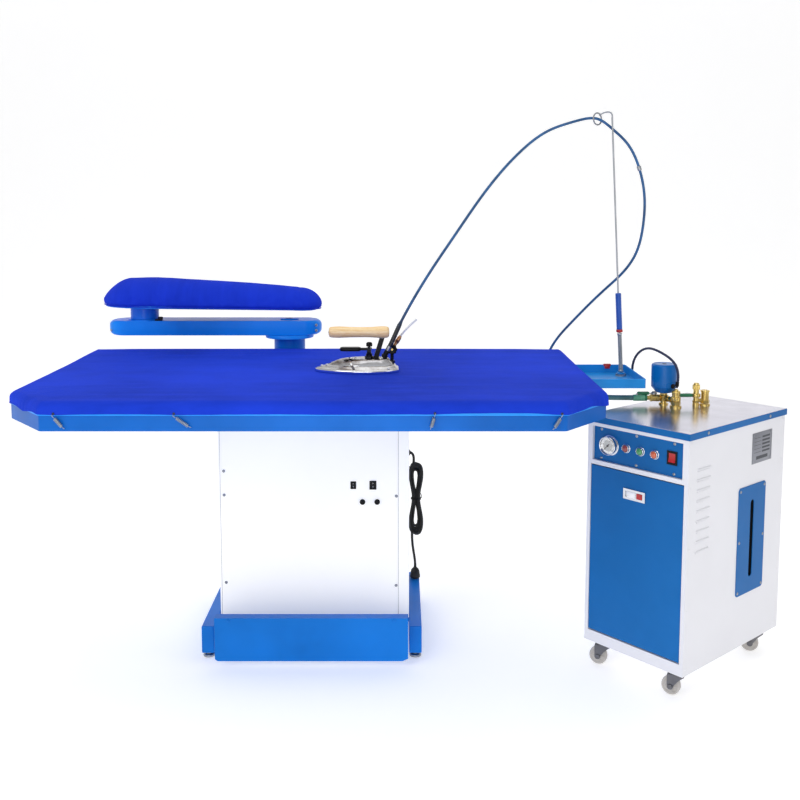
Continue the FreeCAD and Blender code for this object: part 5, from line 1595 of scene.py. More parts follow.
def iron_body():
    sole_loft(SOLE_LEVELS).finish("iron_sole_plate", SOLE_METAL, "iron", IRON, 38,
                                  "iron_soleplate")
    part = Part()
    for x, y, z in ((-97.0, 0.0, 15.6), (-82.0, -9.0, 18.4), (88.0, -39.0, 12.8),
                    (88.0, 39.0, 12.8)):
        part.screw((x, y, z), UP, 4.2, 2.2, x * 0.1, washer=5.2)
    part.finish("iron_sole_screws", CHROME, "iron", IRON, 40)
    sole_loft(COVER_LEVELS).finish("iron_body_cover", IRON_COVER_METAL, "iron", IRON, 38,
                                   "iron_cover")
    part = Part()
    for x, y in ((-20.0, 0.0), (-4.0, -13.5), (-4.0, 13.5), (14.0, -20.0), (66.0, -15.0),
                 (66.0, 13.0)):
        part.screw((x, y, COVER_FLAT), UP, 3.6, 2.0, x * 0.13)
    # flat steel strap from the cover down over the front edge
    path = spline_vectors([
        (-13.0, -7.0, 38.2), (-16.0, -15.0, 37.8), (-18.5, -23.0, 36.2), (-18.0, -31.0, 31.8),
        (-15.0, -38.5, 26.4), (-12.0, -44.5, 21.6), (-8.5, -50.5, 18.2), (-5.0, -55.0, 15.6)], 28)
    rows = []
    for i, p in enumerate(path):
        tangent = (path[min(i + 1, len(path) - 1)] - path[max(i - 1, 0)]).normalized()
        side = Vector((1, 0.35, 0)).normalized()
        side = (side - tangent * side.dot(tangent)).normalized()
        out = tangent.cross(side).normalized() * 0.8
        side *= 2.4
        rows.append([p + side + out, p + side - out, p - side - out, p - side + out])
    part.loft(rows)
    part.finish("iron_cover_screws_and_strap", CHROME, "iron", IRON)


def iron_handle():
    refine("iron_handle_bracket", PHENOLIC, bevel=0.0012, seg=3)
    part = Part()
    curve = spline([(x, radius, 0) for x, radius in HANDLE], 80)
    part.lathe([(0.0, -76.4), (6.0, -76.6), (9.6, -77.0)] + [(p[1], p[0]) for p in curve]
               + [(4.0, 90.7), (0.0, 90.7)], (0, 0, HANDLE_Z), RIGHT, seg=56)
    part.finish("iron_wood_handle", BEECH, "iron", IRON, 40, "iron_handle")
    part = Part()
    part.lathe([(3.6, -1.2), (6.6, -1.2), (7.0, -0.6), (6.6, 0.1)], (-76.6, 0, HANDLE_Z), RIGHT,
               seg=40)
    part.screw((-77.3, 0, HANDLE_Z), LEFT, 4.4, 1.6, 0.3)
    part.lathe([(8.6, 0.0), (8.6, 1.4), (8.0, 1.9), (0, 1.9)], (70.5, 0, 93.6), seg=36)
    part.finish("iron_handle_end_screw", STEEL, "iron", IRON, 40)
    refine("iron_paddle", PHENOLIC, bevel=0.0006)


def iron_knobs():
    part = Part()
    part.lathe([(2.7, 66.7), (7.4, 66.7), (8.4, 67.6), (8.4, 74.8), (7.6, 76.6), (6.3, 78.2),
                (5.2, 78.5), (4.8, 77.9), (0.0, 77.9)], KNOB_VALVE, seg=72,
               wobble=lambda r, h, turn: r * (
                   1 + (0.045 * cos(12 * turn) if 67 < h < 76 and r > 7 else 0)))
    part.finish("iron_steam_knob", PHENOLIC, "steam_knob", IRON, replaces="iron_valve_knob")
    part = Part()
    part.lathe([(2.7, 28.7), (12.6, 28.7), (14.0, 29.5), (14.0, 33.2), (13.0, 34.6),
                (11.4, 35.8), (9.8, 35.9), (8.8, 35.3), (3.4, 35.3), (3.4, 35.7), (0, 35.7)],
               (REAR_X, 44.9, REAR_Z), FRONT, seg=80,
               wobble=lambda r, h, turn: r * (
                   1 + (0.06 * cos(8 * turn) if 28.6 < h < 35 and r > 10 else 0)))
    part.finish("iron_rear_hand_knob", PHENOLIC, "rear_knob", IRON, replaces="iron_rear_knob")
    part = Part()
    part.lathe([(3.2, 8.9), (3.2, 8.2), (2.6, 7.7), (0, 7.7)], (REAR_X, 0.0, REAR_Z), BACK,
               seg=24)
    part.finish("iron_rear_knob_screw", BRASS, "rear_knob", IRON, 40)


def iron_valves():
    part = Part()
    part.nut(VALVE, 10.6, 37.0, 43.0)
    part.lathe([(9.0, 42.8), (9.0, 47.0), (8.0, 48.0), (8.0, 50.4)], VALVE, seg=40)
    # fork cheeks and their cross pin
    for y_start, y_end in ((-9.4, -6.2), (6.2, 9.4)):
        part.prism([(28.4, 52.0), (39.6, 52.0), (39.6, 63.0), (37.6, 66.6), (34.0, 68.0),
                    (30.4, 66.6), (28.4, 63.0)], 1, y_start, y_end)
    part.box((28.2, 39.8), (-9.4, 9.4), (49.8, 54.6), 0.8)
    part.lathe([(2.8, -10.4), (2.8, 10.4)], (34.0, 0, 62.0), BACK, seg=24)
    part.lathe([(4.4, 9.4), (4.4, 10.8), (3.6, 11.4), (0, 11.4)], (34.0, 0, 62.0), FRONT, seg=24)
    part.nut(KNOB_VALVE, 7.6, 37.0, 43.5)
    part.lathe([(5.6, 43.3), (5.6, 56.5), (4.8, 57.5), (4.8, 59.0)], KNOB_VALVE, seg=32)
    part.nut(KNOB_VALVE, 6.4, 58.6, 63.8)
    part.lathe([(2.4, 63.6), (2.4, 66.9)], KNOB_VALVE, seg=20)
    part.finish("iron_valve_bodies", VALVE_STEEL, "iron", IRON, replaces="iron_fittings")
    part = Part()
    part.lathe([(6.2, 1.5), (6.2, 5.0), (8.0, 5.0)], UNION, UNION_DIRECTION, seg=40)
    part.nut(UNION, 8.3, 4.0, 11.5, UNION_DIRECTION)
    part.lathe([(6.6, 11.3), (6.6, 15.5), (7.2, 16.0), (7.2, 20.0), (6.6, 20.5), (6.2, 26.4),
                (4.8, 26.6)], UNION, UNION_DIRECTION, seg=40)
    part.finish("iron_hose_union", BLACK_PLASTIC, "iron", IRON)


def iron_rear():
    """post at the heel with a slanted copper fitting and a milky tube"""
    part = Part()
    part.nut(REAR_POST, 7.2, 20.0, 27.0)
    part.lathe([(4.8, 26.8), (4.8, 48.0), (6.0, 49.0), (6.0, 64.0), (5.0, 65.2)], REAR_POST,
               seg=32)
    part.lathe([(2.4, 10.8), (2.4, 22.0)], (REAR_X, 0, REAR_Z), BACK, seg=20)
    part.finish("iron_rear_post", VALVE_STEEL, "iron", IRON)
    part = Part()
    foot = Vector((99.0, 22.0, 60.0))
    slant = Vector((122.0, 22.0, 96.0)) - foot
    length = slant.length
    part.lathe([(4.4, 0), (4.4, length * 0.42), (5.8, length * 0.44), (5.8, length * 0.86),
                (5.0, length * 0.9), (4.2, length * 0.92), (4.2, length)], foot, slant, seg=36)
    part.nut(foot, 6.0, length * 0.50, length * 0.68, slant)
    part.finish("iron_copper_fitting", COPPER, "iron", IRON)
    part = Part()
    part.tube(spline([(121.0, 22.0, 94.6), (122.3, 22.0, 96.5), (134.0, 22.0, 111.0),
                      (150.0, 22.0, 128.0), (167.0, 22.0, 143.0)], 60),
              lambda share: 2.9 + (0.14 * sin(share * 150) if share > 0.1 else 0.0), seg=20)
    part.finish("iron_ptfe_tube", MILKY_TUBE, "iron", IRON, None)


iron_body()
iron_handle()
iron_knobs()
iron_valves()
iron_rear()


# --------------------------------------------------------------- steam hose
def nearest(path, point):
    return min(range(len(path)), key=lambda i: (path[i] - Vector(point)).length)


def hose_piece(name, path, finish, radius=4.0):
    part = Part()
    part.tube(path, radius, seg=20)
    obj = part.finish(name, finish, body=None, sharp=None)
    smooth_all(obj)
    return obj


def free_hose():
    """from the iron up through the pole's ring and down behind to the table's underside"""
    start = IRON_FOOT + UNION + UNION_DIRECTION * 26.0
    ring = LEAN @ RING_CENTRE
    joint = (932.2, 220.0, 1388.5)
    path = spline_vectors([
        start, start + UNION_DIRECTION * 26.0,
        (223.0, 18.0, 938.0), (257.0, 34.0, 1002.0), (313.5, 60.0, 1093.0),
        (384.3, 80.0, 1196.6), (469.9, 105.0, 1317.3), (571.2, 135.0, 1430.9),
        (653.7, 163.0, 1491.8), (734.1, 187.0, 1521.0), ring, (848.0, 213.0, 1503.0),
        (894.2, 217.0, 1460.6), joint, (951.4, 228.0, 1310.1), (954.0, 244.0, 1221.6),
        (938.0, 268.0, 1131.0), (900.9, 302.0, 1066.3), (865.3, 333.0, 1024.0),
        (824.5, 375.0, 972.6), (774.6, 424.0, 905.7), (736.4, 456.0, 850.7),
        (714.0, 468.0, 806.2), (704.0, 466.0, 765.0), (703.0, 452.0, 735.0),
        (706.0, 425.0, 722.5)], 900)
    at_ring = nearest(path, ring)
    # split half way up, above the stiff length at the iron
    split = int(at_ring * 0.50)

    def low_radius(share):
        """thicker sheath over the end at the iron, tapering off quickly"""
        return 4.0 + 2.3 * (1.0 if share < 0.16 else max(0.0, 1.0 - (share - 0.16) / 0.03))
    low = hose_piece("steam_hose_iron_end", path[:split + 1], HOSE_LOW, low_radius)
    rise = hose_piece("steam_hose_rise", path[split:at_ring + 1], HOSE_BLUE)
    rear = hose_piece("steam_hose_rear", path[at_ring:], HOSE_BLUE)
    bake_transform(low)
    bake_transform(rise)
    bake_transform(rear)
    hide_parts("steam_hose")
    # ribbed ferrule at the iron
    part = Part()
    part.lathe([(3.6, -2.0), (6.4, -1.6), (6.6, 0), (6.6, 12.0), (6.2, 13.0), (3.6, 13.4)],
               start, UNION_DIRECTION, seg=40)
    for k in range(4):
        part.lathe([(6.4, 0.0), (6.9, 0.4), (6.9, 1.2), (6.4, 1.6)],
                   start + UNION_DIRECTION * (1.5 + 2.8 * k), UNION_DIRECTION, seg=40)
    part.finish("steam_hose_ferrule", STEEL, "iron")
    # joint sleeve on the way down from the ring
    part = Part()
    at_joint = nearest(path, joint)
    part.lathe([(3.6, -7.0), (6.0, -6.6), (6.3, -5.6), (6.3, 5.6), (6.0, 6.6), (3.6, 7.0)],
               path[at_joint], path[at_joint + 1] - path[at_joint - 1], seg=32)
    part.finish("steam_hose_joint_sleeve", STEEL, "hose_pole")


def lagged_hose():
    """thick run under the table towards the generator, with clips and an end cuff"""
    path = spline_vectors([
        (706.0, 426.0, 722.8), (706.6, 420.0, 722.2), (711.0, 380.0, 721.0),
        (722.0, 290.0, 724.0), (738.0, 190.0, 728.0), (772.0, 112.0, 730.5), (830.0, 84.0, 731.0),
        (880.0, 80.5, 731.0), (923.5, 80.0, 731.0)], 260)
    part = Part()
    part.tube(path, lambda share: 7.4 + 0.16 * sin(share * 378), seg=24)
    part.finish("steam_hose_lagged_run", LAGGING, sharp=None)
    part = Part()
    end = path[-1]
    for back in (6.0, 15.0):
        part.lathe([(7.5, -2.6), (8.2, -2.6), (8.2, 2.6), (7.5, 2.6)],
                   end - Vector((back, 0, 0)), RIGHT, seg=36)
        part.box((end.x - back - 3.0, end.x - back + 3.0), (76.5, 83.5), (738.4, 743.0), 0.8)
    part.lathe([(3.6, -9.0), (7.7, -8.4), (8.0, -7.4), (8.0, 3.0), (7.5, 3.6)],
               path[0] + Vector((0, 4.0, 0.6)), (0, -1, -0.1), seg=32)
    part.finish("steam_hose_clips", STEEL)
    # ribbed cuff pulled over the end of the lagging and the hose tail
    part = Part()
    profile = [(6.9, 26.0), (8.3, 25.6), (9.0, 24.6)]
    for k in range(5):
        profile += [(9.2, 22.0 - 4.6 * k), (8.7, 21.2 - 4.6 * k), (9.2, 20.4 - 4.6 * k)]
    profile += [(9.2, -6.0), (8.6, -7.0), (7.5, -7.4)]
    part.lathe(profile, end, LEFT)
    part.lathe([(6.3, -7.2), (8.6, -7.6), (9.2, -8.4), (9.2, -12.6), (8.4, -13.6),
                (6.3, -13.8)], end, LEFT, slot=1)
    part.finish("hose_end_cuff", [PALE_GREEN, GREEN_GRIP])


free_hose()
lagged_hose()

# ========================================================== steam generator
ROW_TO_GEN = GEN_ORIGIN.inverted()


def panel_slot(centre, normal):
    """slot 1 (black) for the faces round the rocker switch in the control panel"""
    x, y, z = (ROW_TO_GEN @ centre) * 1000.0
    dx, dz = abs(x - 104.0), abs(z - 639.0)
    bezel = dx < 15.6 and dz < 18.6
    return int(bezel and (y < -232.1 or (dx < 11.2 and dz < 14.2)))


refine("gen_cabinet", GEN_WHITE, bevel=0.0011)
refine("gen_lid", [GEN_BLUE, LID_STEEL],
       pick=lambda centre, normal: int(normal.z > 0.8 and centre.z > 0.7105))
refine("gen_door", GEN_BLUE, bevel=0.0014, seg=3)
refine("gen_latch_frame", CHROME, bevel=0.0006)
refine("gen_latch", WHITE_PLASTIC, bevel=0.0006)
refine("latch_button", RED_PLASTIC, bevel=0.0010)
refine("gen_control_panel", [GEN_BLUE, BLACK_PLASTIC], bevel=0.0006, pick=panel_slot)
refine("gen_rocker", RED_PLASTIC, bevel=0.0006)
refine("sight_plate", GEN_BLUE, bevel=0.0004)
refine("boiler_tank", STEEL, bevel=0)
refine("feed_pump", STEEL)

# ------------------------------------------------------------ pressure gauge
GAUGE_X, GAUGE_Z = -89.0, 637.0
GAUGE = (GAUGE_X, 0.0, GAUGE_Z)
MARK_BACK, MARK_FRONT = -243.42, -243.55    # y of the dial marks


def add_text(part, text, matrix, size, extrude):
    curve = bpy.data.curves.new("t", "FONT")
    curve.body = text
    curve.size = size
    curve.align_x = "CENTER"
    curve.align_y = "CENTER"
    curve.extrude = extrude
    curve.resolution_u = 3
    obj = bpy.data.objects.new("t", curve)
    scene.collection.objects.link(obj)
    bpy.context.view_layer.update()
    depsgraph = bpy.context.evaluated_depsgraph_get()
    data = bpy.data.meshes.new_from_object(obj.evaluated_get(depsgraph))
    data.transform(matrix)
    part.mesh.from_mesh(data)
    bpy.data.meshes.remove(data)
    bpy.data.objects.remove(obj)
    bpy.data.curves.remove(curve)


def gauge_case():
    part = Part()
    part.lathe([(27.6, 231.8), (27.6, 233.2), (26.4, 233.8), (24.6, 234.2), (24.6, 244.0),
                (25.6, 244.6), (25.8, 246.6), (25.0, 248.0), (23.6, 248.3), (22.6, 247.6),
                (22.3, 246.2), (22.3, 243.6), (12.0, 243.3), (12.0, 238.0)], GAUGE, FRONT, seg=96)
    part.finish("gauge_case", CHROME, frame=GEN, sharp=30, replaces="gauge_body")
    part = Part()
    part.lathe([(22.2, 242.2), (22.2, 243.4), (0, 243.4)], GAUGE, FRONT, seg=72)
    part.finish("gauge_dial_plate", DIAL_WHITE, frame=GEN, sharp=30)


def gauge_marks():
    """51 ticks over 270 degrees with a numeral at every tenth, and a red limit arc"""
    part = Part()
    for i in range(51):
        turn = radians(-135 + 270 * i / 50)
        length = 3.4 if i % 10 == 0 else (2.6 if i % 5 == 0 else 1.6)
        half = 0.34 if i % 10 == 0 else 0.2
        dx, dz = sin(turn), cos(turn)
        outer, inner = 20.6, 20.6 - length
        part.prism([(GAUGE_X + dx * r + dz * w, GAUGE_Z + dz * r - dx * w) for r, w in (
            (inner, half), (outer, half), (outer, -half), (inner, -half))],
            1, MARK_FRONT, MARK_BACK)
    for i in range(6):
        turn = radians(-135 + 270 * i / 5)
        place = Matrix.Translation(Vector((GAUGE_X + 14.2 * sin(turn), -243.48,
                                           GAUGE_Z + 14.2 * cos(turn))))
        add_text(part, str(2 * i), place @ Matrix.Rotation(radians(90), 4, "X"), size=4.6,
                 extrude=0.06)
    part.finish("gauge_dial_marks", BLACK_PLASTIC, frame=GEN, sharp=30)
    part = Part()
    section = ((20.9, MARK_BACK), (21.7, MARK_BACK), (21.7, MARK_FRONT), (20.9, MARK_FRONT))
    rows = []
    for i in range(25):
        turn = radians(81 + 54 * i / 24)
        rows.append([(GAUGE_X + r * sin(turn), y, GAUGE_Z + r * cos(turn)) for r, y in section])
    part.loft(rows, flip=True)
    part.finish("gauge_limit_arc", RED_PLASTIC, frame=GEN, sharp=30)


def gauge_pointer():
    """needle with a balanced tail, resting at the dial's zero, under the glass"""
    part = Part()
    needle = ((-1.0, 0), (-0.9, 4), (-0.25, 18.5), (0.25, 18.5), (0.9, 4), (1.0, 0),
              (1.5, -6.5), (0, -7.2), (-1.5, -6.5))
    part.prism([(GAUGE_X + dx, GAUGE_Z + dz) for dx, dz in needle], 1, -245.0, -244.4)
    part.lathe([(3.0, 243.9), (3.0, 245.2), (2.4, 245.7), (0, 245.8)], GAUGE, FRONT, seg=28)
    bmesh.ops.rotate(part.mesh, cent=Vector(GAUGE), verts=part.mesh.verts,
                     matrix=Matrix.Rotation(radians(-135), 3, "Y"))
    part.finish("gauge_pointer", BLACK_PLASTIC, "gauge_needle", GEN, 30, "gauge_needle")
    part = Part()
    part.lathe([(22.25, 246.4), (22.25, 247.2), (0, 247.3)], GAUGE, FRONT, seg=64)
    part.finish("gauge_glass", GAUGE_GLASS, frame=GEN, sharp=30)


def lamps():
    bezels, lenses = Part(), Part()
    for slot, x in enumerate((-37.0, 8.0, 52.0)):
        origin = (x, 0, 638.0)
        bezels.lathe([(12.6, 231.8), (12.6, 233.0), (11.8, 233.6), (11.2, 233.8), (11.2, 236.4),
                      (10.9, 238.6), (10.1, 239.2), (9.3, 238.7), (9.3, 234.0)], origin, FRONT,
                     seg=56)
        lenses.lathe([(9.2, 234.5), (9.2, 238.9), (8.6, 240.6), (7.2, 242.2), (5.0, 243.2),
                      (2.4, 243.8), (0, 243.9)], origin, FRONT, slot=slot)
    bezels.finish("lamp_bezels", CHROME, frame=GEN, sharp=30, replaces="indicator_lamps")
    lenses.finish("lamp_lenses", LENSES, frame=GEN)


gauge_case()
gauge_marks()
gauge_pointer()
lamps()


# ------------------------------------------------- generator sides and back
def sight_glass():
    """water tube in a channel lined black as painted shade, and a black sheet further forward as
    painted shade behind the louvres
    """
    x_span, y_span, z_span = (134.0, 155.2), (55.0, 95.0), (254.0, 494.0)
    part = Part()
    part.box((134.0, 135.5), y_span, z_span)
    part.box(x_span, (55.0, 56.2), z_span)
    part.box(x_span, (93.8, 95.0), z_span)
    part.box(x_span, y_span, (254.0, 255.2))
    part.box(x_span, y_span, (492.8, 494.0))
    part.finish("sight_channel", SHADE_BLACK, frame=GEN)
    part = Part()
    # black sheet behind the side louvres: painted shade in their slits
    part.box((149.0, 150.5), (-206.0, -134.0), (384.0, 622.0))
    part.finish("louvre_painted_shade_sheet", SHADE_BLACK, frame=GEN)
    tube = (146.0, 75.0, 0)
    part = Part()
    part.lathe([(4.6, 264.0), (4.6, 484.0)], tube, seg=32)
    part.finish("sight_tube", SIGHT_WATER, frame=GEN)
    part = Part()
    for z in (256.0, 478.0):
        part.nut(tube, 7.4, z, z + 13.0)
    part.finish("sight_tube_nuts", BRASS, frame=GEN)


def data_plate():
    """plain plate with a raised border, blank ruled boxes and corner rivets"""
    part = Part()
    part.box((157.45, 158.2), (66.0, 170.0), (580.0, 665.0), 0.25)
    for y_span, z_span in (((69.0, 167.0), (583.0, 583.7)), ((69.0, 167.0), (661.3, 662.0)),
                           ((69.0, 69.7), (583.0, 662.0)), ((166.3, 167.0), (583.0, 662.0))):
        part.box((158.1, 158.45), y_span, z_span)
    ruling = (158.1, 158.4)
    for z in (650.0, 640.0, 630.0, 620.0, 610.0):
        part.box(ruling, (76.0, 112.0), (z - 0.5, z + 0.5), slot=1)
        part.box(ruling, (118.0, 158.0), (z - 2.6, z + 2.6), slot=1)
    part.box(ruling, (88.0, 148.0), (590.0, 599.0), slot=1)
    part.finish("blank_data_plate", [PLATE_METAL, PLATE_RULING], frame=GEN)
    part = Part()
    for y in (72.5, 163.5):
        for z in (586.5, 658.5):
            part.lathe([(2.2, 0.0), (2.1, 0.6), (1.5, 1.2), (0, 1.5)], (158.1, y, z), RIGHT,
                       seg=20)
    part.finish("data_plate_rivets", STEEL, frame=GEN, sharp=None)


def pop_rivets():
    """rivets down the corners of both sides and along the back"""
    part = Part()
    places = [((side * 157.4, y, z), (side, 0, 0)) for y in (-228.0, 228.0)
              for z in (92.0, 250.0, 410.0, 570.0, 684.0) for side in (1, -1)]
    places += [((x, 239.9, z), BACK) for x in (-140.0, 0.0, 140.0) for z in (92.0, 684.0)]
    for origin, axis in places:
        part.lathe([(3.0, 0.0), (2.9, 0.5), (1.9, 1.1), (0, 1.3)], origin, axis, seg=20)
    part.finish("cabinet_pop_rivets", GEN_WHITE, frame=GEN, sharp=None)


def back_fittings():
    """louvres and two brass connections on the back"""
    part = Part()
    for i in range(8):
        z = 470.0 + i * 22.0
        outline = [(239.6, z + 9.5)]
        outline += [(240.0 + 4.8 * sin(pi / 2 * k / 8), z + 9.0 * cos(pi / 2 * k / 8))
                    for k in range(9)]
        outline += [(244.2, z), (243.6, z + 0.4), (239.6, z + 8.0)]
        part.prism(outline, 0, -60.0, 60.0)
    part.finish("back_louvres", GEN_WHITE, frame=GEN)
    part = Part()
    for x, z, radius in ((-90.0, 160.0, 9.0), (70.0, 140.0, 11.0)):
        origin = (x, 240.0, z)
        part.nut(origin, radius, 0.0, 4.5, BACK)
        part.lathe([(radius * 0.72, 0.0), (radius * 0.72, 4.6), (radius * 0.62, 5.2),
                    (radius * 0.40, 5.2), (radius * 0.40, 2.0), (0, 2.0)], origin, BACK, seg=36)
    part.finish("water_inlet_and_drain", BRASS, frame=GEN)


sight_glass()
data_plate()
pop_rivets()
back_fittings()

# ------------------------------------------------------------------- casters
CASTER_X, CASTER_Y = 118.0, 198.0     # pivots from the generator's centre
TRAIL, WHEEL_RADIUS = 17.0, 25.0      # the wheel's axle behind its pivot, and over the floor
PLATE_BOLT = 21.5
# name, side, front or back, swivel in degrees
CASTERS = (("fl", -1, -1, 205.0), ("fr", 1, -1, 200.0), ("rl", -1, 1, 150.0), ("rr", 1, 1, 215.0))


def caster(name, x, y, swivel):
    place = GEN @ Matrix.Translation(Vector((x, y, 0))) \
        @ Matrix.Rotation(radians(swivel), 4, "Z")
    axle = (TRAIL, 0, WHEEL_RADIUS)
    # pressed fork: dished swivel race, two cheeks, crown, axle and nuts
    part = Part()
    part.lathe([(9.0, 57.0), (17.0, 57.6), (21.5, 59.6), (22.6, 62.0), (22.0, 64.6),
                (19.4, 66.2), (18.6, 68.6), (19.6, 70.6)], (0, 0, 0), seg=56)
    cheek = [(-18.5, 59.5), (24.5, 59.5), (26.0, 56.5), (25.6, 48.0), (25.4, 34.0), (25.2, 26.0)]
    for k in range(1, 9):
        turn = radians(10 - 200 * k / 8)
        cheek.append((TRAIL + 8.2 * cos(turn), WHEEL_RADIUS + 8.2 * sin(turn)))
    cheek += [(4.5, 33.0), (-2.0, 42.0), (-12.0, 51.0), (-18.5, 56.0)]
    part.prism(cheek, 1, -14.3, -11.5)
    part.prism(cheek, 1, 11.5, 14.3)
    part.box((-19.0, 25.5), (-14.3, 14.3), (56.6, 60.2), 1.2)
    part.lathe([(3.9, -16.2), (3.9, 16.2)], axle, BACK, seg=24)
    part.nut(axle, 6.2, 14.2, 17.6, BACK)
    part.nut(axle, 6.2, 14.2, 17.6, FRONT)
    part.finish("caster_fork_%s_pressing" % name, CASTER_ZINC, "caster_" + name, place,
                replaces="caster_fork_" + name)
    # wheel, the same on both faces, with ribs in its recesses
    part = Part()
    half = [(4.2, -11.2), (8.6, -11.2), (9.2, -10.6), (9.4, -8.6), (11.0, -7.6), (17.0, -7.6),
            (18.6, -8.8), (20.0, -9.7), (22.6, -9.0), (24.3, -6.6), (WHEEL_RADIUS, -3.0)]
    part.lathe(half + [(radius, -height) for radius, height in half[::-1]], axle, BACK, seg=72)
    for k in range(6):
        for side in (-1, 1):
            before = set(part.mesh.verts)
            part.box((9.0, 18.0), (side * 8.1 - 0.7, side * 8.1 + 0.7), (-0.9, 0.9), 0.3)
            part.move_new(before, Matrix.Translation(Vector(axle))
                          @ Matrix.Rotation(radians(60 * k), 4, "Y"))
    part.finish("caster_wheel_%s_tread" % name, NYLON, "wheel_" + name, place, 32,
                "caster_wheel_" + name)
    part = Part()
    for dx in (-PLATE_BOLT, PLATE_BOLT):
        for dy in (-PLATE_BOLT, PLATE_BOLT):
            part.nut((x + dx, y + dy, 0), 4.0, -71.0, -68.4, (0, 0, -1))
    part.finish("caster_bolts_" + name, CASTER_ZINC, frame=GEN)


for name, x_side, y_side, swivel in CASTERS:
    caster(name, x_side * CASTER_X, y_side * CASTER_Y, swivel)

# ------------------------------------------- pipework on the lid, table frame
PIPE_Z = 731.0
RELIEF = (1008.0, 36.0, 0)
SOLENOID = (985.0, 80.0, 0)
BALL_VALVE = (957.0, 80.0, 0)
STEAM_VALVE = (1075.0, 70.0, 0)
SPARE_OUTLET = (1100.5, 70.0, 0)


def relief_valve(part):
    """flanged foot, hexagon body and knurled cap"""
    part.lathe([(16.0, 712.0), (16.0, 715.6), (15.0, 717.0), (10.0, 717.2)], RELIEF, seg=56)
    part.nut(RELIEF, 12.4, 719.0, 729.0)
    part.lathe([(10.2, 717.0), (10.2, 746.0), (11.4, 746.6), (11.4, 748.6), (10.6, 749.2),
                (10.6, 751.0)], RELIEF)
    part.lathe([(12.0, 730.0), (13.0, 731.2), (13.0, 741.0), (12.0, 742.4)], RELIEF, seg=96,
               wobble=knurl(40, 0.7))
    part.lathe([(11.9, 751.4), (12.0, 752.0), (12.0, 757.4), (11.0, 758.6), (6.6, 759.4),
                (6.2, 763.4), (4.6, 764.0), (0, 764.0)], RELIEF)


def solenoid_foot(part):
    """pipe from the relief valve, and the body under the canister"""
    start = Vector((*RELIEF[:2], PIPE_Z))
    run = Vector((*SOLENOID[:2], PIPE_Z)) - start
    part.lathe([(6.4, 6.0), (6.4, run.length - 6)], start, run, seg=32)
    part.nut(start, 8.2, 13.0, 20.0, run)
    part.nut(start, 8.2, run.length - 21.0, run.length - 14.0, run)
    part.lathe([(13.0, 712.0), (13.0, 715.2), (12.2, 716.2), (9.0, 716.4)], SOLENOID)
    part.nut(SOLENOID, 12.2, 722.0, 740.0, chamfer=0.35)
    part.lathe([(8.8, 716.0), (8.8, 748.2)], SOLENOID, seg=40)
    part.lathe([(10.2, 741.5), (10.2, 745.5), (9.0, 746.4)], SOLENOID, seg=80,
               wobble=knurl(30, 0.4))


def ball_valve(part):
    """run to the left through the ball valve to the ribbed hose tail"""
    start = (*SOLENOID[:2], PIPE_Z)
    part.lathe([(6.3, 8.0), (6.3, 50.0)], start, LEFT, seg=32)
    part.nut(start, 9.4, 13.0, 18.0, LEFT)
    part.nut(start, 9.6, 17.8, 23.5, LEFT)
    part.lathe([(8.4, 22.0), (10.0, 24.0), (10.0, 33.0), (8.4, 35.0)], start, LEFT)
    part.nut(start, 9.6, 33.4, 39.2, LEFT)
    profile = [(6.2, 48.0), (6.8, 48.4)]
    at = 49.0
    while at < 60.0:
        profile += [(5.9, at), (6.8, at + 2.6), (6.8, at + 3.0)]
        at += 3.4
    part.lathe(profile + [(5.6, 61.6), (4.2, 62.0)], start, LEFT, seg=36)
    part.lathe([(5.6, 740.4), (5.6, 741.2), (3.9, 741.4), (3.9, 745.6)], BALL_VALVE, seg=28)


def steam_valve(part):
    """second valve and the capped outlet beside it"""
    part.lathe([(9.6, 712.0), (9.6, 716.2), (9.0, 717.0), (7.9, 717.2)], STEAM_VALVE, seg=40)
    part.lathe([(7.9, 716.8), (7.9, 734.6)], STEAM_VALVE, seg=40)
    part.nut(STEAM_VALVE, 8.6, 719.0, 725.0)
    part.lathe([(7.8, 745.4), (7.8, 757.2)], STEAM_VALVE, seg=40)
    part.lathe([(9.2, 757.0), (10.0, 757.8), (10.0, 769.6), (9.0, 771.0)], STEAM_VALVE, seg=96,
               wobble=knurl(36, 0.6))
    part.lathe([(7.6, 770.6), (7.6, 774.4), (6.6, 775.8), (0, 776.0)], STEAM_VALVE, seg=40)
    part.lathe([(14.5, 712.0), (14.5, 715.0), (13.8, 716.0), (10.8, 716.2)], SPARE_OUTLET)
    part.nut(SPARE_OUTLET, 12.0, 718.0, 727.0)
    part.lathe([(10.8, 726.8), (10.8, 749.8), (12.4, 750.3), (13.0, 751.0), (13.0, 754.2),
                (12.2, 755.0), (6.7, 755.0), (6.5, 754.6), (6.5, 735.4), (0, 735.4)],
               SPARE_OUTLET, seg=56)
    for k in range(7):
        part.lathe([(10.6, 0.0), (11.3, 0.6), (10.6, 1.2)], (*SPARE_OUTLET[:2], 730.0 + k * 2.6))
    part.lathe([(5.5, 0.0), (5.5, 24.0)], (1076.0, 70.0, 725.5), RIGHT, seg=28)


def lid_pipework():
    part = Part()
    for build in (relief_valve, solenoid_foot, ball_valve, steam_valve):
        build(part)
    part.finish("lid_brass_pipework", BRASS, sharp=33, replaces="steam_fittings")


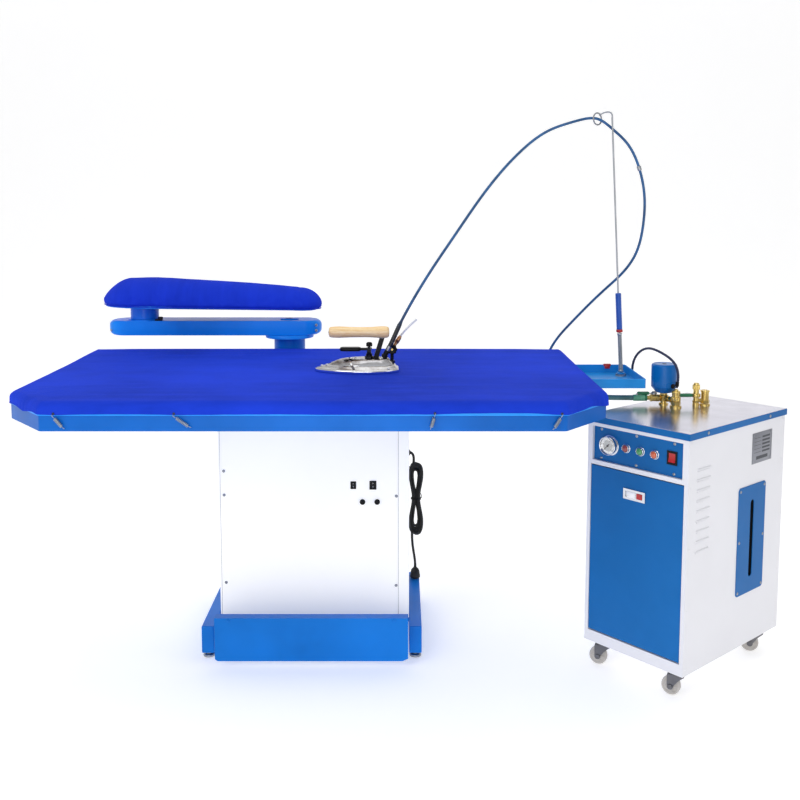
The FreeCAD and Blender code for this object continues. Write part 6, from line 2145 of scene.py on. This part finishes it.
def valve_levers():
    # ball valve: flat steel lever with a dipped grip
    part = Part()
    path = spline_vectors([(957.0, 80.0, 743.8), (947.0, 80.0, 743.9), (936.0, 80.0, 744.2),
                           (924.0, 80.0, 744.3), (913.0, 80.0, 744.2)], 30)
    section = [Vector((0, y, z)) for y, z in ((4.0, 1.1), (4.0, -1.1), (-4.0, -1.1), (-4.0, 1.1))]
    part.loft([[p + corner for corner in section] for p in path], slot=1)
    part.lathe([(8.4, 741.7), (8.5, 742.4), (8.5, 745.6), (8.0, 746.4), (4.2, 746.4)],
               BALL_VALVE, seg=40, slot=1)
    part.nut(BALL_VALVE, 4.6, 745.6, 749.6, slot=1)
    part.tube([(943.0 - 34.0 * i / 22, 80.0, 744.2) for i in range(23)],
              lambda share: (4.9 - 1.6 * max(0, (share - 0.86) / 0.14) ** 2
                             - 1.4 * max(0, (0.06 - share) / 0.06) + 0.22 * cos(share * 60)),
              seg=24)
    part.finish("ball_valve_lever", [GREEN_GRIP, STEEL], "steam_valve_1",
                replaces="valve_lever_1")
    # steam valve: brass collar with a round grip
    part = Part()
    part.lathe([(8.2, 735.2), (11.6, 735.4), (12.0, 736.2), (12.0, 744.0), (11.4, 744.9),
                (8.2, 745.0)], STEAM_VALVE, slot=1)
    part.tube([(1067.0 - 43.0 * i / 30, 70.0, 740.0) for i in range(31)],
              lambda share: (4.2 + 1.1 * min(1, share * 4)
                             - 2.4 * max(0, (share - 0.9) / 0.1) ** 2 + 0.2 * cos(share * 70)),
              seg=24)
    part.finish("steam_valve_lever", [GREEN_GRIP, BRASS], "steam_valve_2",
                replaces="valve_lever_2")


def solenoid_canister():
    part = Part()
    part.lathe([(22.6, 748.0), (23.2, 748.8), (35.0, 763.0), (36.0, 764.6), (36.0, 767.0),
                (35.6, 767.6), (36.0, 768.2), (36.0, 824.0), (35.7, 826.4), (34.6, 828.6),
                (32.6, 829.8), (30.0, 830.0), (29.4, 829.4), (6.6, 829.4), (6.0, 828.8)],
               SOLENOID, seg=96)
    part.finish("solenoid_canister", CANISTER_BLUE, sharp=33, replaces="solenoid_valve")
    part = Part()
    part.nut(SOLENOID, 5.4, 828.6, 829.9)
    part.lathe([(6.6, 27.0), (6.6, 38.6), (5.6, 39.4), (0, 39.4)], (*SOLENOID[:2], 770.0),
               (24.0, -46.0, 0), seg=32)
    part.finish("solenoid_nut_and_gland", BLACK_PLASTIC, sharp=33)


lid_pipework()
valve_levers()
solenoid_canister()

# CAD pieces still shown as they are
for name, node in NODES.items():
    if not node.hide_render:
        node.data.materials.clear()
        node.data.materials.append(FOAM if name == "ironing_pad" else STEEL)


# ---------------------------------------------- stage, light, camera (metres)
def stage_floor():
    """floor sweeping up into a wall behind"""
    half_width, bend_y, bend_radius = 14.0, 3.0, 4.0
    profile = [(-9.0, 0.0), (-3.0, 0.0), (bend_y, 0.0)]
    for k in range(1, 25):
        turn = pi / 2 * k / 24
        profile.append((bend_y + bend_radius * sin(turn), bend_radius - bend_radius * cos(turn)))
    profile.append((7.0, 11.0))
    part = Part()
    left = part.ring((-half_width, y, z) for y, z in profile)
    right = part.ring((half_width, y, z) for y, z in profile)
    for i in range(len(profile) - 1):
        part.face((left[i], right[i], right[i + 1], left[i + 1]))
    for face in part.mesh.faces:
        face.smooth = True
    data = bpy.data.meshes.new("floor")
    part.mesh.to_mesh(data)
    part.mesh.free()
    floor = bpy.data.objects.new("floor", data)
    scene.collection.objects.link(floor)
    data.materials.append(floor_material("floor_pale"))


def studio_world():
    """soft grey gradient for lighting, plain white to the camera"""
    scene.world = bpy.data.worlds.new("studio")
    nodes = Nodes(scene.world, "World")
    height = nodes.split(nodes.coords["Generated"])[2]
    sky = nodes.ramp(nodes.remap(height, to=(0, 1), span=(-1, 1)),
                     [(0.30, (0.55, 0.55, 0.56, 1)), (0.75, (0.95, 0.95, 0.96, 1))])
    soft = nodes.node("Background", {"Color": sky, "Strength": 0.55}).outputs[0]
    white = nodes.node("Background", {"Color": (1, 1, 1, 1), "Strength": 1.0}).outputs[0]
    to_camera = nodes.node("LightPath").outputs["Is Camera Ray"]
    nodes.feed(nodes.output, nodes.node("MixShader", {0: to_camera, 1: soft, 2: white}).outputs[0])


def area_light(name, location, target, size, energy):
    light = bpy.data.lights.new(name, "AREA")
    light.shape = "SQUARE"
    light.size = size
    light.energy = energy
    obj = bpy.data.objects.new(name, light)
    obj.location = location
    aim = Vector(target) - Vector(location)
    obj.rotation_euler = aim.to_track_quat("-Z", "Y").to_euler()
    scene.collection.objects.link(obj)


def add_camera():
    camera = bpy.data.cameras.new("cam")
    camera.lens = 44.64
    camera.sensor_width = 36
    camera.shift_y = -0.1127
    obj = bpy.data.objects.new("cam", camera)
    obj.location = (-0.054049, -2.807851, 1.2790)
    obj.rotation_euler = (radians(84.0), 0, 0)
    scene.collection.objects.link(obj)
    scene.camera = obj


stage_floor()
studio_world()
area_light("key_left", location=(-2.6, -3.2, 3.0), target=(-0.1, 0, 0.6), size=2.2, energy=44)
area_light("front_low", location=(-0.3, -4.6, 0.9), target=(-0.2, 0, 0.45), size=2.6, energy=45)
area_light("top_soft", location=(0.2, 0.0, 3.8), target=(0, 0, 0.7), size=3.2, energy=30)
area_light("right_soft", location=(3.2, -1.8, 1.6), target=(0.6, -0.1, 0.5), size=1.8, energy=10)
add_camera()
scene.view_settings.view_transform = "Standard"
scene.view_settings.look = "None"

bpy.context.view_layer.update()
